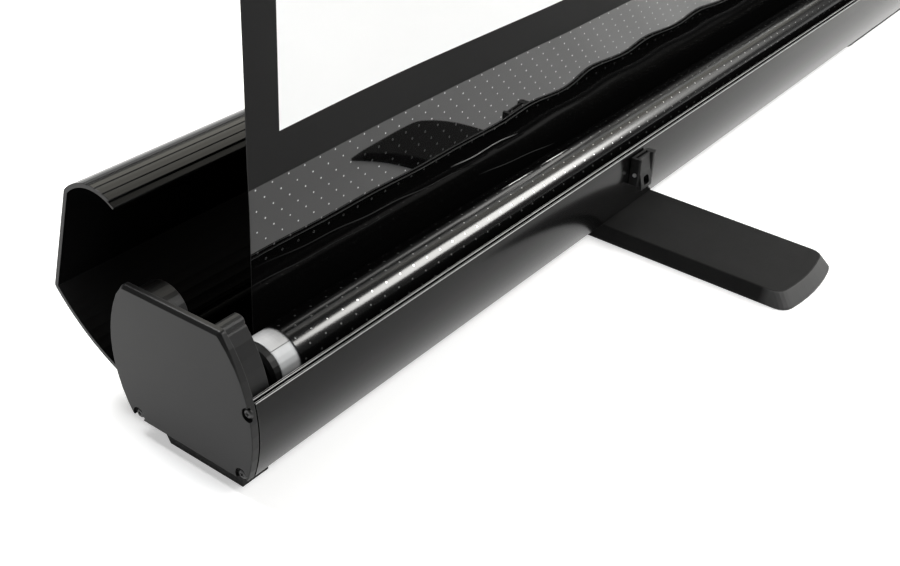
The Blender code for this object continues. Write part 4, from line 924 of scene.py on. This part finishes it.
def screw_head():
    """A screw's pan head and a stub of its shank, along +Z."""
    bm = bmesh.new()
    points = [bm.verts.new((SCREW_RADIUS * r, 0, SCREW_HEIGHT * z)) for r, z in SCREW_PROFILE]
    edges = [bm.edges.new(pair) for pair in zip(points, points[1:])]
    turn = {"axis": (0, 0, 1), "cent": (0, 0, 0), "steps": SCREW_STEPS, "angle": math.tau}
    bmesh.ops.spin(bm, geom=points + edges, **turn)
    bmesh.ops.remove_doubles(bm, verts=bm.verts, dist=SCREW_WELD)
    bmesh.ops.contextual_create(bm, geom=[edge for edge in bm.edges if edge.is_boundary])
    bmesh.ops.recalc_face_normals(bm, faces=bm.faces)
    return new_piece("screw_head_form", bm, [])


def screw_cross():
    """The form of the cross recess, which narrows downwards."""
    bm = bmesh.new()
    for turn in (0.0, math.pi / 2):
        bar = bmesh.ops.create_cube(bm, size=1.0)["verts"]
        for vert in bar:
            x, y, z = vert.co
            flare = 1.0 if z > 0 else CROSS_TAPER
            height = SCREW_HEIGHT * (1.0 + z * CROSS_TALL)
            vert.co = (x * CROSS_REACH * flare, y * CROSS_WIDTH * flare, height)
        bmesh.ops.rotate(bm, verts=bar, cent=(0, 0, 0), matrix=Matrix.Rotation(turn, 3, "Z"))
    bmesh.ops.recalc_face_normals(bm, faces=bm.faces)
    return new_piece("screw_cross_form", bm, [])


def screw_mesh():
    """A small pan-head screw with a cross recess, standing on its seat."""
    head = screw_head()
    cross = screw_cross()
    cut = head.modifiers.new("cross", "BOOLEAN")
    cut.object = cross
    cut.solver = "EXACT"
    cut.use_self = True
    bpy.context.view_layer.update()
    made = head.evaluated_get(bpy.context.evaluated_depsgraph_get())
    mesh = bpy.data.meshes.new_from_object(made)
    for item in (head, cross):
        bpy.data.objects.remove(item)
    return mesh


def make_screws():
    """Three screws in the notches of each end cap, each turned a little differently."""
    mesh = screw_mesh()
    mesh.materials.clear()
    mesh.materials.append(steel("screw_black", level=70, roughness=0.34))
    for side, way in (("left", -1), ("right", 1)):
        for index, (y, z) in enumerate(SCREW_SPOTS):
            screw = add_object(f"cap_screw_{side}_{index + 1}", mesh)
            angle = SCREW_TURN + SCREW_TURN_STEP * index + way * SCREW_TURN_SIDE
            spin = Matrix.Rotation(angle, 4, "Z")
            face = Matrix.Rotation(way * math.pi / 2, 4, "Y")
            screw.matrix_world = Matrix.Translation((way * (CAP_FACE - NOTCH_DEPTH), y, z)) @ face @ spin
            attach(screw, "case")


def floor_white():
    """Pale and matt. It glows for the camera and in mirrors only, so it looks white and lights nothing."""
    finish = Finish(
        "floor_white", Base_Color=grey(FLOOR_LEVEL), Roughness=FLOOR_ROUGHNESS, Specular_IOR_Level=0.0,
        Emission_Color=WHITE,
    )
    path = finish.add("ShaderNodeLightPath").outputs
    seen = finish.math("ADD", path["Is Camera Ray"], path["Is Glossy Ray"])
    seen = finish.math("ADD", seen, path["Is Transmission Ray"])
    away = finish.vector("LENGTH", finish.place)["Value"]
    lift = finish.ramp(away, *FLOOR_FADE, *FLOOR_LIFT)
    glow = finish.times(finish.math("MINIMUM", seen, 1.0), lift)
    finish.feed(finish.shader.inputs["Emission Strength"], glow)
    return finish.material


def make_floor():
    """A plain floor with a backdrop round it, which keeps the object's shadows."""
    bm = bmesh.new()
    bmesh.ops.create_circle(bm, cap_ends=True, radius=FLOOR_RADIUS, segments=FLOOR_SIDES)
    rim = [edge for edge in bm.edges if edge.is_boundary]
    raised = bmesh.ops.extrude_edge_only(bm, edges=rim)["geom"]
    lifted = [item for item in raised if isinstance(item, bmesh.types.BMVert)]
    bmesh.ops.translate(bm, verts=lifted, vec=(0, 0, BACKDROP_HEIGHT))
    floor = new_piece("floor", bm, [floor_white()])
    floor.location.z = -FLOOR_DROP
    floor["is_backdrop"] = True


def make_light():
    """A plain studio: a key and its dim halo, and panels at the right end, in front and above the rear."""
    for name, place, aim, size, power, tint in LAMPS:
        data = bpy.data.lights.new(name, "AREA")
        data.shape = "ELLIPSE"
        data.size, data.size_y = size
        data.energy = power
        data.color = tint
        lamp = add_object(name, data)
        lamp.location = place
        lamp.rotation_euler = (Vector(aim) - Vector(place)).to_track_quat("-Z", "X").to_euler()
    world = bpy.data.worlds.new("studio")
    world.use_nodes = True
    room = world.node_tree.nodes["Background"].inputs
    room["Color"].default_value = WHITE
    room["Strength"].default_value = WORLD_LIGHT
    bpy.context.scene.world = world


def make_camera():
    """The camera at the photograph's place and angle."""
    data = bpy.data.cameras.new("camera")
    data.sensor_width = CAMERA_SENSOR
    data.lens = CAMERA_LENS
    camera = add_object("camera", data)
    level = math.cos(CAMERA_PITCH)
    ahead = Vector((level * math.cos(CAMERA_YAW), level * math.sin(CAMERA_YAW), -math.sin(CAMERA_PITCH)))
    right = Vector((math.sin(CAMERA_YAW), -math.cos(CAMERA_YAW), 0))
    down = ahead.cross(right)
    turn_c, turn_s = math.cos(CAMERA_ROLL), math.sin(CAMERA_ROLL)
    across = turn_c * right + turn_s * down
    below = turn_c * down - turn_s * right
    turn = Matrix((across, -below, -ahead)).transposed()
    camera.matrix_world = Matrix.Translation(CAMERA_PLACE) @ turn.to_4x4()
    bpy.context.scene.camera = camera


make_camera()
make_light()
make_floor()
dress_nodes()
make_cloth()
make_winding()
make_screws()
bpy.context.scene.view_settings.view_transform = "Standard"

[[list(corner) for corner in box] for box in (cad_box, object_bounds())]
